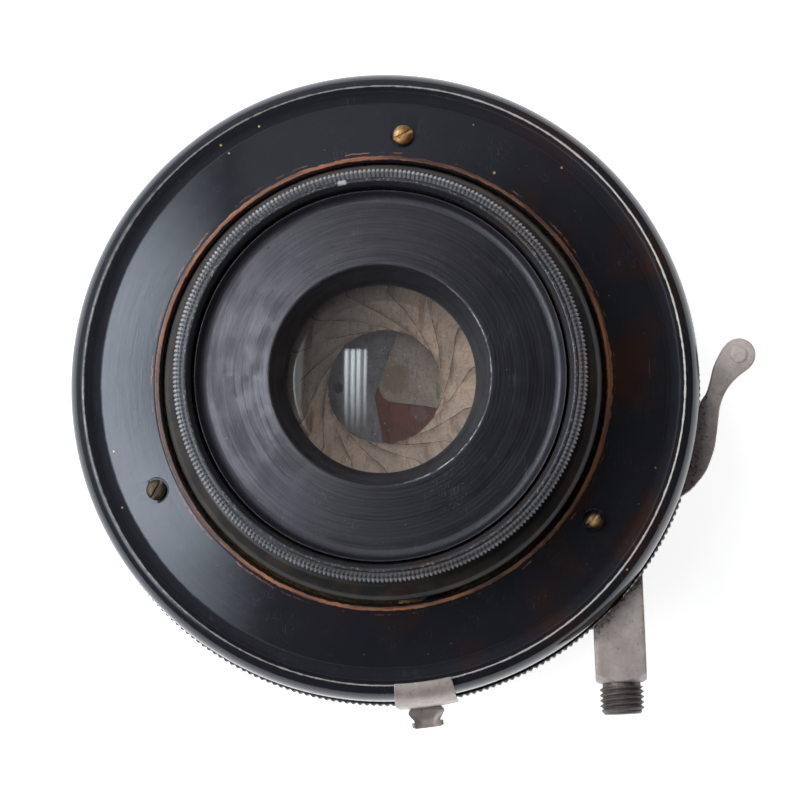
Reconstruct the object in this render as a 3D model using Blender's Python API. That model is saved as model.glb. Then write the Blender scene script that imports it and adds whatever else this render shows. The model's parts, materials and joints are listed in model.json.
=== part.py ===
"""A portrait lens in a round leaf shutter, as the separate pieces that it comes apart into.

The optical axis is parallel to +Z and points to the rear of the lens. The lens stands on the rim of its
front cell, and the origin is the middle of its footprint. Lengths are millimetres until MM turns them into
metres, and angles are degrees anticlockwise from +X, seen from the rear.
"""

import math

import bmesh
import bpy
from mathutils import Matrix, Vector
from mathutils.geometry import convex_hull_2d, tessellate_polygon

MM = 0.001
SEGMENTS = 44

# Case, seen in section from its rear rim to its front edge.
CASE_R = 45.0
RIM_CREST_R = 42.85
RIM_CREST_Z = 34.0
CONE_OUTER = (41.2, 33.2)
CONE_INNER = (32.4, 36.4)
CASE_HOLE_R = 31.15
CASE_WALL = 1.5
CASE_FRONT_Z = 21.8

# Knurled speed ring in front of the case, and the plate behind it.
KNURL_R = 45.3
SPEED_RING_Z = (17.5, 21.5)
FRONT_PLATE_Z = (18.8, 19.8)
FRONT_PLATE_R = 43.2
PLATE_Z = (26.0, 27.0)
PLATE_R = 42.6

# Three screws through the back.
SCREW_CIRCLE_R = 35.6
SCREW_ANGLES = (85.5, 205.2, 326.6)
SCREW_HEAD_R = 1.45

# Three screws inside the front plate.
FRONT_SCREW_R = 40.2
FRONT_SCREW_ANGLES = (25, 165, 240)

# Lens cells.
REAR_BEAD_R = 29.0
REAR_TOP_Z = 48.75
FUNNEL_R = (13.25, 15.5)
FRONT_RIM_R = (24.2, 25.8)

# Iris: each blade lies in its own plane, tilted about a line near the radius through its middle, so that
# every blade passes over the next one all the way round.
IRIS_BLADES = 15
IRIS_Z = 30.3
IRIS_TILT = math.degrees(math.atan(0.09))
IRIS_TILT_LEAD = 18.0
IRIS_INNER_R = 27.0
IRIS_WIDTH = 4.5
IRIS_THICKNESS = 0.06
IRIS_PIN_R = 17.0
IRIS_PIN_ANGLE = 72.0
IRIS_BASE_Z = (27.4, 28.1)
CAM_Z = (32.35, 33.15)
CAM_OPEN = -31.0
CAM_CLOSE = 20.5
BLADE_PER_CAM = 0.87
POINTER_ANGLE = 277.6
ARM_SECTION = (
    (23.0, 34.0), (30.6, 34.0), (36.2, 31.8), (36.2, 25.7), (45.2, 25.7),
    (45.2, 25.1), (35.6, 25.1), (35.6, 31.5), (30.6, 33.4), (23.0, 33.4),
)

# Shutter: five blades on pins of the mechanism plate, worked by pins on a ring.
SHUTTER_BLADES = 5
SHUTTER_FIRST_ANGLE = 62.0
SHUTTER_PIVOT_R = 20.0
SHUTTER_PIN_R = 16.6
SHUTTER_PIN_LEAD = 6.8
SHUTTER_TOP_Z = 25.4
SHUTTER_STEP_Z = 0.4
SHUTTER_THICKNESS = 0.15
SHUTTER_TRAVEL = -13.6
BLADE_PER_RING = -4.3
DRIVE_RING_Z = (22.7, 23.5)

# Release lever, from the plunger's end of it to its round end: x, y and half width.
LEVER_LINE = (
    (32.6, -16.7, 1.5), (37.6, -16.4, 2.6), (41.9, -13.6, 1.8), (45.5, -8.8, 1.8), (46.4, -4.6, 1.7),
    (47.2, -1.2, 1.35), (48.5, 1.7, 1.6), (50.96, 5.1, 2.4),
)
LEVER_HUB = LEVER_LINE[1][:2]
LEVER_Z = (22.4, 23.6)

# Release block, whose middle line leans a little from -Y.
BLOCK_LEAN = 2.3
BLOCK_FOOT = (33.75, -42.2)
BLOCK_HALF = 3.65
BLOCK_Z = (21.45, 28.35)
BLOCK_MIDDLE_Z = sum(BLOCK_Z) / 2
NIPPLE_R = 3.15
NIPPLE_LENGTH = 4.5

# Cocking lever and the wheels of the slow speeds, at the top of the front.
COCKING_AT = (30.0, 95.0)
MODULE = 0.6
SECTOR_TEETH = 40
TEETH_BEFORE = 3
TEETH_AFTER = 11
WHEEL_TEETH = 14
STAR_TEETH = 10
MESH_SLACK = 0.12
WHEEL_DIRECTION = 96
STAR_DIRECTION = 215
PALLET_DIRECTION = 240
GEAR_Z = (20.2, 21.2)

TAB_R = 48.9
AXIS_X = -(LEVER_LINE[-1][0] + LEVER_LINE[-1][2] - KNURL_R) / 2
AXIS_Y = (TAB_R - KNURL_R) / 2


def polar(radius, angle):
    return (radius * math.cos(math.radians(angle)), radius * math.sin(math.radians(angle)))


def turn(point, angle):
    c = math.cos(math.radians(angle))
    s = math.sin(math.radians(angle))
    return (c * point[0] - s * point[1], s * point[0] + c * point[1])


def about_z(angle):
    return Matrix.Rotation(math.radians(angle), 4, "Z")


def arc(radius, start, end, count, centre=(0, 0)):
    """count + 1 points from one angle to another."""
    steps = [start + (end - start) * i / count for i in range(count + 1)]
    return [(centre[0] + x, centre[1] + y) for x, y in (polar(radius, a) for a in steps)]


def circle(radius, centre=(0, 0), count=16):
    return arc(radius, 0, 360, count, centre)[:-1]


def hull(points):
    return [points[i] for i in convex_hull_2d([Vector(p) for p in points])]


def ribbon(line, cap=6):
    """Outline of a strip of changing width: line holds x, y and half width, and the ends are round."""
    left, right = [], []
    for i, (x, y, half) in enumerate(line):
        before = line[max(i - 1, 0)]
        after = line[min(i + 1, len(line) - 1)]
        angle = math.degrees(math.atan2(after[1] - before[1], after[0] - before[0]))
        left.append(arc(half, angle + 90, angle + 90, 1, (x, y))[0])
        right.append(arc(half, angle - 90, angle - 90, 1, (x, y))[0])
        if i == 0:
            start = arc(half, angle + 90, angle + 270, cap, (x, y))
        end = arc(half, angle - 90, angle + 90, cap, (x, y))
    return start[:-1] + right[:-1] + end + left[-2:0:-1]


def smooth_line(line, steps=3):
    """Catmull-Rom points through the given x, y, half width rows."""
    found = []
    for i in range(len(line) - 1):
        rows = [line[max(i - 1, 0)], line[i], line[i + 1], line[min(i + 2, len(line) - 1)]]
        for k in range(steps):
            t = k / steps
            weights = ((-t + 2 * t**2 - t**3) / 2, (2 - 5 * t**2 + 3 * t**3) / 2,
                       (t + 4 * t**2 - 3 * t**3) / 2, (t**3 - t**2) / 2)
            found.append(tuple(sum(w * row[j] for w, row in zip(weights, rows)) for j in range(3)))
    return found + [line[-1]]


def material(name, colour, roughness, metallic):
    made = bpy.data.materials.new(name)
    made.use_nodes = True
    shader = made.node_tree.nodes["Principled BSDF"]
    shader.inputs["Base Color"].default_value = (*colour, 1)
    shader.inputs["Roughness"].default_value = roughness
    shader.inputs["Metallic"].default_value = metallic
    return made


def make_object(name, points, faces, finish, at=(0, 0), sharp=35):
    """A closed mesh from millimetre points, parented to the optical axis, with its faces turned outwards."""
    shape = bmesh.new()
    corners = [shape.verts.new(Vector(p) * MM) for p in points]
    for face in faces:
        shape.faces.new([corners[i] for i in face])
    if shape.calc_volume(signed=True) < 0:
        bmesh.ops.reverse_faces(shape, faces=shape.faces)
    mesh = bpy.data.meshes.new(name)
    shape.to_mesh(mesh)
    shape.free()
    mesh.shade_smooth()
    mesh.set_sharp_from_angle(angle=math.radians(sharp))
    mesh.materials.append(finish)
    made = bpy.data.objects.new(name, mesh)
    bpy.context.scene.collection.objects.link(made)
    made.parent = AXIS
    made.location = (at[0] * MM, at[1] * MM, 0)
    return made


def turned(name, profile, finish, segments=SEGMENTS, start=0, sweep=360, at=(0, 0)):
    """Turns a closed profile of radius and height about the axis, all the way round or through a sweep."""
    whole = sweep == 360
    rings, points = [], []
    for i in range(segments if whole else segments + 1):
        angle = start + sweep * i / segments
        ring = []
        for radius, z in profile:
            if radius == 0 and i > 0:
                ring.append(rings[0][len(ring)])
                continue
            ring.append(len(points))
            points.append((*polar(radius, angle), z))
        rings.append(ring)
    faces = []
    count = len(profile)
    for i in range(segments):
        a, b = rings[i], rings[(i + 1) % len(rings)]
        for k in range(count):
            face = [a[k], a[(k + 1) % count], b[(k + 1) % count], b[k]]
            face = [v for j, v in enumerate(face) if v != face[j - 1]]
            if len(face) > 2:
                faces.append(face)
    if not whole:
        faces.append(rings[0][::-1])
        faces.append(rings[-1])
    return make_object(name, points, faces, finish, at)


def plate(name, outline, z, finish, holes=(), at=(0, 0)):
    """A flat piece with this outline and these holes, from height z[0] to z[1]."""
    loops = [outline, *holes]
    flat = [p for loop in loops for p in loop]
    count = len(flat)
    points = [(x, y, z[0]) for x, y in flat] + [(x, y, z[1]) for x, y in flat]
    caps = tessellate_polygon([[Vector((x, y, 0)) for x, y in loop] for loop in loops])
    area = sum((flat[b][0] - flat[a][0]) * (flat[c][1] - flat[a][1])
               - (flat[c][0] - flat[a][0]) * (flat[b][1] - flat[a][1]) for a, b, c in caps)
    faces = [(a, c, b) if area > 0 else (a, b, c) for a, b, c in caps]
    faces += [tuple(count + i for i in reversed(face)) for face in faces]
    first = 0
    for k, loop in enumerate(loops):
        size = len(loop)
        doubled = sum(loop[i - 1][0] * loop[i][1] - loop[i][0] * loop[i - 1][1] for i in range(size))
        anticlockwise = (doubled > 0) == (k == 0)
        for i in range(size):
            a, b = first + i, first + (i + 1) % size
            wall = (a, b, count + b, count + a)
            faces.append(wall if anticlockwise else wall[::-1])
        first += size
    return make_object(name, points, faces, finish, at)


def strip(name, section, half_width, angle, finish):
    """A bent strip: its section is radius and height, and it is as wide as the sheet that it was cut from."""
    count = len(section)
    points = [turn((r, side), angle) + (z,) for side in (-half_width, half_width) for r, z in section]
    faces = [tuple(range(count)), tuple(range(2 * count - 1, count - 1, -1))]
    faces += [(i, i + count, (i + 1) % count + count, (i + 1) % count) for i in range(count)]
    return make_object(name, points, faces, finish)


def cylinder(name, radius, z, finish, at=(0, 0), count=12):
    return plate(name, circle(radius, count=count), z, finish, at=at)


def lying_cylinder(name, radius, start, end, angle, height, finish, count=12):
    """A cylinder in the plane z = height, from one end point to the other along the given direction."""
    made = cylinder(name, radius, (0, math.dist(start, end)), finish, start, count)
    made.rotation_euler = (0, math.radians(90), math.radians(angle))
    made.location.z = height * MM
    return made


def combine(target, operation, others):
    """Cuts the other objects from the target, or joins them to it, and keeps only the result."""
    for other in others:
        other.hide_render = True
        other.display_type = "WIRE"
        step = target.modifiers.new(operation.title(), "BOOLEAN")
        step.operation = operation
        step.solver = "EXACT"
        step.object = other
    bpy.context.view_layer.update()
    graph = bpy.context.evaluated_depsgraph_get()
    result = bpy.data.meshes.new_from_object(target.evaluated_get(graph))
    target.modifiers.clear()
    target.data = result
    for other in others:
        bpy.data.objects.remove(other)
    return target


def place(source, name, at, matrix=None, height=0):
    """Another object with the same mesh."""
    made = source.copy()
    made.name = name
    bpy.context.scene.collection.objects.link(made)
    if matrix:
        made.rotation_euler = matrix.to_euler()
    made.location = (at[0] * MM, at[1] * MM, height * MM)
    return made


def gear(teeth):
    """Outline of a wheel with straight-sided teeth, four points to a tooth."""
    pitch_r = MODULE * teeth / 2
    root, tip = pitch_r - 1.15 * MODULE, pitch_r + 0.8 * MODULE
    step = 360 / teeth
    points = []
    for i in range(teeth):
        middle = i * step
        for radius, share in ((root, -0.27), (tip, -0.11), (tip, 0.11), (root, 0.27)):
            points.append(polar(radius, middle + share * step))
    return points


def block_line(distance):
    """A point on the release block's middle line, this far above its foot."""
    x, y = polar(distance, 90 + BLOCK_LEAN)
    return (BLOCK_FOOT[0] + x, BLOCK_FOOT[1] + y)


def make_case():
    outer_x, outer_z = CONE_OUTER
    inner_x, inner_z = CONE_INNER
    wall = CASE_WALL
    crown = [(CASE_R - 2.3 + 2.3 * math.cos(t), 30.6 + 3.4 * math.sin(t))
             for t in (math.radians(a) for a in (0, 30, 62))]
    profile = [(CASE_R - 0.4, CASE_FRONT_Z), (CASE_R, 28.6), *crown, (RIM_CREST_R, RIM_CREST_Z),
               (outer_x, outer_z), (inner_x, inner_z), (CASE_HOLE_R, inner_z), (CASE_HOLE_R, inner_z - wall),
               (inner_x, inner_z - wall), (outer_x, outer_z - wall), (CASE_R - wall - 0.3, 29.6),
               (CASE_R - wall - 0.3, CASE_FRONT_Z)]
    case = turned("shutter_case", profile, BLACK_ENAMEL)
    cutters = []
    for angle in SCREW_ANGLES:
        at = polar(SCREW_CIRCLE_R, angle)
        cutters.append(cylinder("spot_face", 1.95, (34.8, 37), BRASS, at, 14))
        cutters.append(cylinder("screw_hole", 1.05, (32, 36), BRASS, at))
    slot_r = [(41.5, 24.2), (47, 24.2), (47, 26.6), (41.5, 26.6)]
    start = POINTER_ANGLE + CAM_OPEN - 4.5
    sweep = CAM_CLOSE - CAM_OPEN + 9
    cutters.append(turned("pointer_slot", slot_r, BRASS, 8, start, sweep))
    notch = [(41.5, 21), (47, 21), (47, 24), (41.5, 24)]
    cutters.append(turned("lever_notch", notch, BRASS, 5, -27, 37))
    foot, along = block_line(0), block_line(20)
    cutters.append(lying_cylinder("plunger_hole", 1.3, foot, along, 90 + BLOCK_LEAN, BLOCK_MIDDLE_Z, BRASS))
    return combine(case, "DIFFERENCE", cutters)


def make_back_screws():
    for i, angle in enumerate(SCREW_ANGLES):
        r = SCREW_HEAD_R
        shank = [(0, 26.3), (0.75, 26.3), (0.75, 35.1)]
        profile = shank + [(r, 35.1), (r, 35.95), (r - 0.35, 36.25), (0, 36.35)]
        at = polar(SCREW_CIRCLE_R, angle)
        screw = turned(f"back_screw_{i + 1}", profile, BRASS, 14, at=at)
        slot = [turn(p, 40 * i) for p in ((-2, -0.22), (2, -0.22), (2, 0.22), (-2, 0.22))]
        combine(screw, "DIFFERENCE", [plate("slot", slot, (35.85, 37), BRASS, at=at)])


def make_rear_cell():
    turned("rear_flange_ring", [(27.8, 34.9), (30.85, 34.9), (30.85, 38.0), (28.9, 38.9),
                                (27.8, 38.9)], BLACK_ENAMEL)
    top = REAR_TOP_Z
    turned("rear_cell_barrel",
           [(14.3, 34.8), (27.5, 34.8), (27.5, 39.3), (28.4, 39.3), (28.4, 45.8), (REAR_BEAD_R, 46.5),
            (REAR_BEAD_R, top - 0.8), (28.1, top), (26.8, top), (25.95, 45.2), (25.95, 38.6),
            (14.3, 38.6)], BLACK_ENAMEL)
    turned("rear_lens_cap",
           [(14.25, 38.9), (25.6, 38.9), (25.6, 45.3), (25.3, 45.6), (20.5, 47.05), (FUNNEL_R[1], 48.0),
            (FUNNEL_R[0], 41.4), (14.25, 41.4)], BLACK_ENAMEL)
    dome = [(13.9 * t, 41.0 + 1.2 * (1 - t * t)) for t in (1, 0.7, 0.35, 0)]
    turned("rear_outer_glass", [(0, 39.7), (13.9, 39.3), *dome], GLASS, 36)
    turned("rear_inner_glass", [(0, 36.6), (7, 36.4), (13.95, 35.8), (13.95, 38.2), (7, 37.7), (0, 37.5)],
           GLASS, 32)
    turned("rear_retaining_ring", [(13.15, 34.9), (14.0, 34.9), (14.0, 35.5), (13.3, 35.5)], BLACK_ENAMEL, 32)


def make_front_cell():
    inner_rim, outer_rim = FRONT_RIM_R
    turned("front_cell_barrel",
           [(14.6, 22.0), (14.6, 12.4), (20.5, 12.4), (20.5, 2.6), (inner_rim, 0), (outer_rim, 0),
            (26.2, 0.4), (26.2, 5.3), (24.4, 6.2), (24.4, 15.6), (25.4, 16.4), (25.4, 18.4), (16.8, 18.4),
            (16.8, 22.0)], BLACK_ENAMEL)
    front = [(20.2 * t, 4.7 + 1.4 * t * t) for t in (0, 0.35, 0.7, 1)]
    turned("front_outer_glass", [*front, (20.2, 9.5), (13, 10.9), (0, 11.5)], GLASS, 36)
    turned("front_inner_glass", [(0, 14.4), (7, 14.1), (14.3, 13.0), (14.3, 17.2), (7, 16.6), (0, 16.4)],
           GLASS, 32)
    turned("front_retaining_ring", [(17.8, 3.0), (20.2, 3.0), (20.2, 5.0), (19.0, 5.0)], BLACK_ENAMEL, 40)


def make_plates():
    wide = (POINTER_ANGLE + CAM_OPEN - 9, POINTER_ANGLE + CAM_CLOSE + 9)
    outline = arc(PLATE_R, wide[1], wide[0] + 360, 32) + arc(34.4, wide[0], wide[1], 8)
    holes = [circle(14.2, count=32)]
    holes += [circle(1.05, polar(SCREW_CIRCLE_R, angle), 8) for angle in SCREW_ANGLES]
    base = plate("mechanism_plate", outline, PLATE_Z, BRASS, holes)
    pins = []
    for i in range(SHUTTER_BLADES):
        at = polar(SHUTTER_PIVOT_R, SHUTTER_FIRST_ANGLE - 72 * i)
        pins.append(cylinder("pin", 0.7, (23.7, PLATE_Z[0] + 0.5), BRASS, at, 8))
    combine(base, "UNION", pins)

    holes = [circle(17.1, count=36), circle(1.5, polar(*COCKING_AT), 10)]
    holes += [circle(0.85, at, 8) for at in (wheel_at(), star_at(), pallet_at())]
    holes += [circle(0.85, LEVER_HUB, 8)]
    holes += [circle(0.75, polar(FRONT_SCREW_R, angle), 8) for angle in FRONT_SCREW_ANGLES]
    plate("front_plate", circle(FRONT_PLATE_R, count=48), FRONT_PLATE_Z, BLACK_ENAMEL, holes)
    for i, angle in enumerate(FRONT_SCREW_ANGLES):
        at = polar(FRONT_SCREW_R, angle)
        post = [(0, 20.05), (1.6, 20.05), (1.6, 21.9), (1.2, 22.2), (0, 22.2)]
        screw = turned(f"front_screw_{i + 1}", post, BRASS, 12, at=at)
        combine(screw, "UNION", [cylinder("shank", 0.5, (18.85, 20.5), BRASS, at, 8)])


def make_speed_ring():
    low, high = SPEED_RING_Z
    turned("speed_ring", [(36, low), (44.6, low), (KNURL_R, low + 0.6), (KNURL_R, high), (43.7, high),
                          (43.7, low + 1), (36, low + 1)], BLACK_ENAMEL)


def blade_arc_centre():
    """The middle of a blade's inner arc, from the optical axis, for a blade whose middle is on +X."""
    x, y = polar(IRIS_PIN_R, IRIS_PIN_ANGLE)
    return x - math.sqrt((IRIS_INNER_R + IRIS_WIDTH / 2) ** 2 - y**2)


def make_iris():
    """The blades turn on pins in the base ring and are pushed by their other pins in the cam ring's slots."""
    pin_x, pin_y = polar(IRIS_PIN_R, IRIS_PIN_ANGLE)
    half = IRIS_WIDTH / 2
    middle = (blade_arc_centre() - pin_x, pin_y)
    reach = math.degrees(math.asin(pin_y / (IRIS_INNER_R + half)))
    outer = arc(IRIS_INNER_R + IRIS_WIDTH, -reach, reach, 9, middle)
    inner = arc(IRIS_INNER_R, reach, -reach, 9, middle)
    far = (0, 2 * pin_y)
    ends = arc(half, reach, reach + 180, 4, far), arc(half, 180 - reach, 360 - reach, 4)
    outline = outer + ends[0][1:-1] + inner + ends[1][1:-1]
    thick = IRIS_THICKNESS / 2
    blade = plate("iris_blade_01", outline, (-thick, thick), BLADE_STEEL)
    tip_up = Matrix.Rotation(math.radians(IRIS_TILT), 4, "X")
    tilt = about_z(IRIS_TILT_LEAD) @ tip_up @ about_z(-IRIS_TILT_LEAD)
    pins = [cylinder("pivot_pin", 0.5, (-1.15, 0), BRASS, (0, 0), 6),
            cylinder("drive_pin", 0.45, (0, 1.8), BRASS, far, 6)]
    combine(blade, "UNION", pins)
    ring_holes = [circle(14.2, count=36)]
    for k in range(IRIS_BLADES):
        turned_by = about_z(360 / IRIS_BLADES * k) @ tilt
        corner = turned_by @ Vector((pin_x, -pin_y, 0))
        at, height = corner[:2], IRIS_Z + corner[2]
        foot = corner - turned_by @ Vector((0, 0, 1))
        ring_holes.append(circle(0.75, foot[:2], 6))
        if k == 0:
            blade.rotation_euler = turned_by.to_euler()
            blade.location = Vector((*at, height)) * MM
        else:
            place(blade, f"iris_blade_{k + 1:02d}", at, turned_by, height)

    slots = [circle(14.0, count=36)]
    path = []
    for i in range(6):
        cam = CAM_OPEN + (CAM_CLOSE - CAM_OPEN) * i / 5
        x, y = turn((0, 2 * pin_y), cam * BLADE_PER_CAM)
        root = tilt @ Vector((pin_x + x, y - pin_y, 0))
        pin = tilt @ Vector((0, 0, 1))
        reached = root + pin * (sum(CAM_Z) / 2 - IRIS_Z - root.z) / pin.z
        path.append((*turn(reached[:2], -cam), 0.78))
    outline = ribbon(path, 3)
    for k in range(IRIS_BLADES):
        slots.append([turn(p, 360 / IRIS_BLADES * k) for p in outline])
    plate("iris_base_ring", circle(27.0, count=36), IRIS_BASE_Z, BRASS, ring_holes)
    plate("iris_cam_ring", circle(27.5, count=36), CAM_Z, BRASS, slots)


def make_pointer():
    """The arm from the cam ring leaves the case through its slot and carries the clip on the rim."""
    strip("iris_control_arm", ARM_SECTION, 2.0, POINTER_ANGLE, BRASS)

    def over_rim(gap):
        bend = [(CASE_R - 2.3 + (2.3 + gap) * math.cos(t), 30.6 + (3.4 + gap) * math.sin(t))
                for t in (math.radians(a) for a in (0, 22, 45, 68, 90))]
        return [(CASE_R + gap, 19.4), (CASE_R + gap, 29.0), *bend]

    outer, inner = over_rim(0.95), over_rim(0.5)
    clip = turned("aperture_pointer", outer + inner[::-1], NICKEL, 6, POINTER_ANGLE - 5.5, 11)
    foot = CASE_R + 0.6
    tab = [(foot, -2.6), (46.5, -2.6), (47.4, -1.95), (TAB_R, -1.95), (TAB_R, 1.95), (47.4, 1.95),
           (46.5, 2.6), (foot, 2.6)]
    outline = [turn(p, POINTER_ANGLE - 0.6) for p in tab]
    combine(clip, "UNION", [plate("tab", outline, (19.6, 20.6), NICKEL)])


def make_shutter():
    px, pin_r = SHUTTER_PIVOT_R, SHUTTER_PIN_R
    pin = polar(pin_r, SHUTTER_PIN_LEAD)
    corners = circle(2.2, (0.82, -1.01), 16) + circle(2.2, (px, 0), 12) + circle(1.6, pin, 12)
    # The far corner is cut back so that the lowest blade clears the top blade's drive pin as it opens.
    corners += [polar(8.5, -81), polar(11.4, -73), *arc(14.8, -65, -2, 8)]
    outline = [(x - px, y) for x, y in hull(corners)]
    path = []
    for i in range(7):
        ring = SHUTTER_TRAVEL * i / 6
        x, y = polar(pin_r, SHUTTER_PIN_LEAD + ring)
        path += circle(0.75, turn((x - px, y), -ring * BLADE_PER_RING), 8)
    holes = [circle(0.9, count=8), hull(path)]
    blade = plate("shutter_blade_1", outline, (0, SHUTTER_THICKNESS), BLADE_STEEL, holes)
    ring = plate("shutter_drive_ring", circle(18.9, count=32), DRIVE_RING_Z, BRASS, [circle(14.9, count=32)])
    pins = []
    for i in range(SHUTTER_BLADES):
        angle = SHUTTER_FIRST_ANGLE - 72 * i
        height = SHUTTER_TOP_Z - SHUTTER_STEP_Z * i
        if i > 0:
            place(blade, f"shutter_blade_{i + 1}", polar(px, angle), about_z(angle), height)
        pins.append(cylinder("drive_pin", 0.55, (DRIVE_RING_Z[0] + 0.3, height + 0.3), BRASS,
                             polar(pin_r, angle + SHUTTER_PIN_LEAD), 6))
    x, y = polar(px, SHUTTER_FIRST_ANGLE)
    blade.rotation_euler.z = math.radians(SHUTTER_FIRST_ANGLE)
    blade.location = Vector((x, y, SHUTTER_TOP_Z)) * MM
    combine(ring, "UNION", pins)


def make_release():
    hub = LEVER_HUB
    line = [(x - hub[0], y - hub[1], half) for x, y, half in smooth_line(LEVER_LINE, 2)]
    lever = plate("release_lever", ribbon(line, 8), LEVER_Z, NICKEL, at=hub)
    push = block_line(25.4)
    parts = [cylinder("lug", 0.8, (LEVER_Z[0] + 0.3, 25.3), NICKEL, push, 10),
             cylinder("axle", 0.6, (FRONT_PLATE_Z[0] + 0.2, LEVER_Z[0] + 0.3), NICKEL, hub, 10)]
    combine(lever, "UNION", parts)
    end = LEVER_LINE[-1][:2]
    rivet = [(0, 23.85), (1.2, 23.85), (1.2, 24.0), (0.9, 24.12), (0, 24.12)]
    turned("release_lever_rivet", rivet, NICKEL, 12, at=end)

    sides = [block_line(d) for d in (0, 40)]
    lean = polar(BLOCK_HALF, BLOCK_LEAN)
    case_gap = 0.45
    left = (sides[0][0] - lean[0], sides[0][1] - lean[1])
    right = (sides[0][0] + lean[0], sides[0][1] + lean[1])
    tops = [edge_meets_case(side, CASE_R + case_gap) for side in (right, left)]
    angles = [math.degrees(math.atan2(y, x)) for x, y in tops]
    corner = 0.7
    foot = [inset(left, 1, 0, corner), inset(left, 0, 1, corner), inset(right, 0, -1, corner),
            inset(right, 1, 0, corner)]
    outline = foot + arc(CASE_R + case_gap, angles[0], angles[1], 6)
    block = plate("release_block", outline, BLOCK_Z, NICKEL)
    start, end = block_line(-1), block_line(20)
    bore = lying_cylinder("bore", 1.2, start, end, 90 + BLOCK_LEAN, BLOCK_MIDDLE_Z, NICKEL)
    combine(block, "DIFFERENCE", [bore])

    nipple_top, nipple_end = block_line(-0.3), block_line(-NIPPLE_LENGTH)
    length = NIPPLE_LENGTH - 0.3
    profile = [(1.2, 0), (NIPPLE_R, 0), (NIPPLE_R, length - 0.5), (NIPPLE_R - 0.35, length), (1.2, length)]
    nipple = turned("release_nipple", profile, NICKEL, 20, at=nipple_top)
    lay_down(nipple, -90 + BLOCK_LEAN)
    profile = [(0, 0.7), (0.8, 0.7), (0.8, 28.8), (0, 28.8)]
    plunger = turned("release_plunger", profile, BRASS, 12, at=nipple_end)
    lay_down(plunger, 90 + BLOCK_LEAN)


def lay_down(made, angle):
    """Turns a piece made along +Z to lie along this direction at the height of the release block's middle."""
    made.rotation_euler = (0, math.radians(90), math.radians(angle))
    made.location.z = BLOCK_MIDDLE_Z * MM


def inset(corner, up, across, size):
    """A point beside a corner of the release block, for a bevelled edge."""
    x, y = polar(size * up, 90 + BLOCK_LEAN)
    u, v = polar(size * across, BLOCK_LEAN)
    return (corner[0] + x + u, corner[1] + y + v)


def edge_meets_case(corner, radius):
    """Where the block's side through this corner reaches the given radius."""
    dx, dy = polar(1, 90 + BLOCK_LEAN)
    b = corner[0] * dx + corner[1] * dy
    c = corner[0] ** 2 + corner[1] ** 2 - radius**2
    distance = -b - math.sqrt(b * b - c)
    return (corner[0] + dx * distance, corner[1] + dy * distance)


def wheel_at():
    distance = MODULE * (SECTOR_TEETH + WHEEL_TEETH) / 2 + MESH_SLACK
    start = polar(*COCKING_AT)
    step = polar(distance, COCKING_AT[1] + WHEEL_DIRECTION)
    return (start[0] + step[0], start[1] + step[1])


def star_at():
    distance = MODULE * (WHEEL_TEETH + STAR_TEETH) / 2 + MESH_SLACK
    step = polar(distance, STAR_DIRECTION)
    return (wheel_at()[0] + step[0], wheel_at()[1] + step[1])


def pallet_at():
    step = polar(7.2, PALLET_DIRECTION)
    return (star_at()[0] + step[0], star_at()[1] + step[1])


def make_gears():
    """The cocking lever's sector turns the wheel, and the wheel turns the star wheel."""
    hub = polar(*COCKING_AT)
    direction = COCKING_AT[1] + WHEEL_DIRECTION
    full = gear(SECTOR_TEETH)
    teeth = full[-4 * TEETH_BEFORE:] + full[:4 * TEETH_AFTER]
    outline = [turn(p, direction) for p in teeth] + arc(4.0, direction + 110, direction + 300, 10)
    main = plate("main_lever", outline, GEAR_Z, BRASS, at=hub)
    combine(main, "UNION", [cylinder("shaft", 1.2, (17.2, 23.0), BRASS, hub)])

    mesh_turn = direction + 180 + 180 / WHEEL_TEETH
    outline = [turn(p, mesh_turn) for p in gear(WHEEL_TEETH)]
    wheel = plate("retard_wheel", outline, GEAR_Z, BRASS, at=wheel_at())
    combine(wheel, "UNION", [cylinder("arbor", 0.6, (19.0, GEAR_Z[0] + 0.4), BRASS, wheel_at(), 10)])
    # A tooth of the star wheel lies in the space of the wheel that is nearest to the line between them.
    tooth = (STAR_DIRECTION - mesh_turn) / (360 / WHEEL_TEETH)
    past = (tooth - math.floor(tooth) - 0.5) * 360 / STAR_TEETH
    outline = [turn(p, STAR_DIRECTION + 180 + past) for p in gear(STAR_TEETH)]
    star = plate("star_wheel", outline, GEAR_Z, BLADE_STEEL, at=star_at())
    combine(star, "UNION", [cylinder("arbor", 0.6, (19.0, GEAR_Z[0] + 0.4), BRASS, star_at(), 10)])

    at = pallet_at()
    towards = PALLET_DIRECTION + 180
    arm = [(-2.2, 0, 0.9), (0, 0, 1.3), (2.2, 0, 0.7), (3.0, 0, 0.45)]
    turned_arm = [(*turn((x, y), towards), half) for x, y, half in arm]
    pallet = plate("pallet", ribbon(turned_arm, 6), GEAR_Z, BLADE_STEEL, at=at)
    combine(pallet, "UNION", [cylinder("arbor", 0.6, (19.0, GEAR_Z[0] + 0.4), BRASS, at, 10)])

    line = [(0, 0, 3.0), (5.0, 0.4, 1.7), (9.5, 0.9, 1.5), (13.4, 2.0, 1.9)]
    line = [(*turn((x, y), COCKING_AT[1] - 6), half) for x, y, half in smooth_line(line)]
    plate("cocking_lever", ribbon(line, 8), (15.7, 16.9), NICKEL, at=hub)
    head = [(0, 14.7), (1.7, 14.7), (2.1, 15.1), (2.1, 15.4), (0, 15.4)]
    turned("cocking_shaft_screw", head, BRASS, 12, at=hub)


def make_main_spring():
    """Flat torsion spring round the cocking lever's shaft, as one open turn."""
    hub = polar(*COCKING_AT)
    section = [(2.0, 22.0), (2.6, 22.0), (2.6, 22.6), (2.0, 22.6)]
    turned("main_spring", section, BLADE_STEEL, 14, 20, 320, at=hub)


for old in list(bpy.data.objects):
    bpy.data.objects.remove(old)

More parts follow.
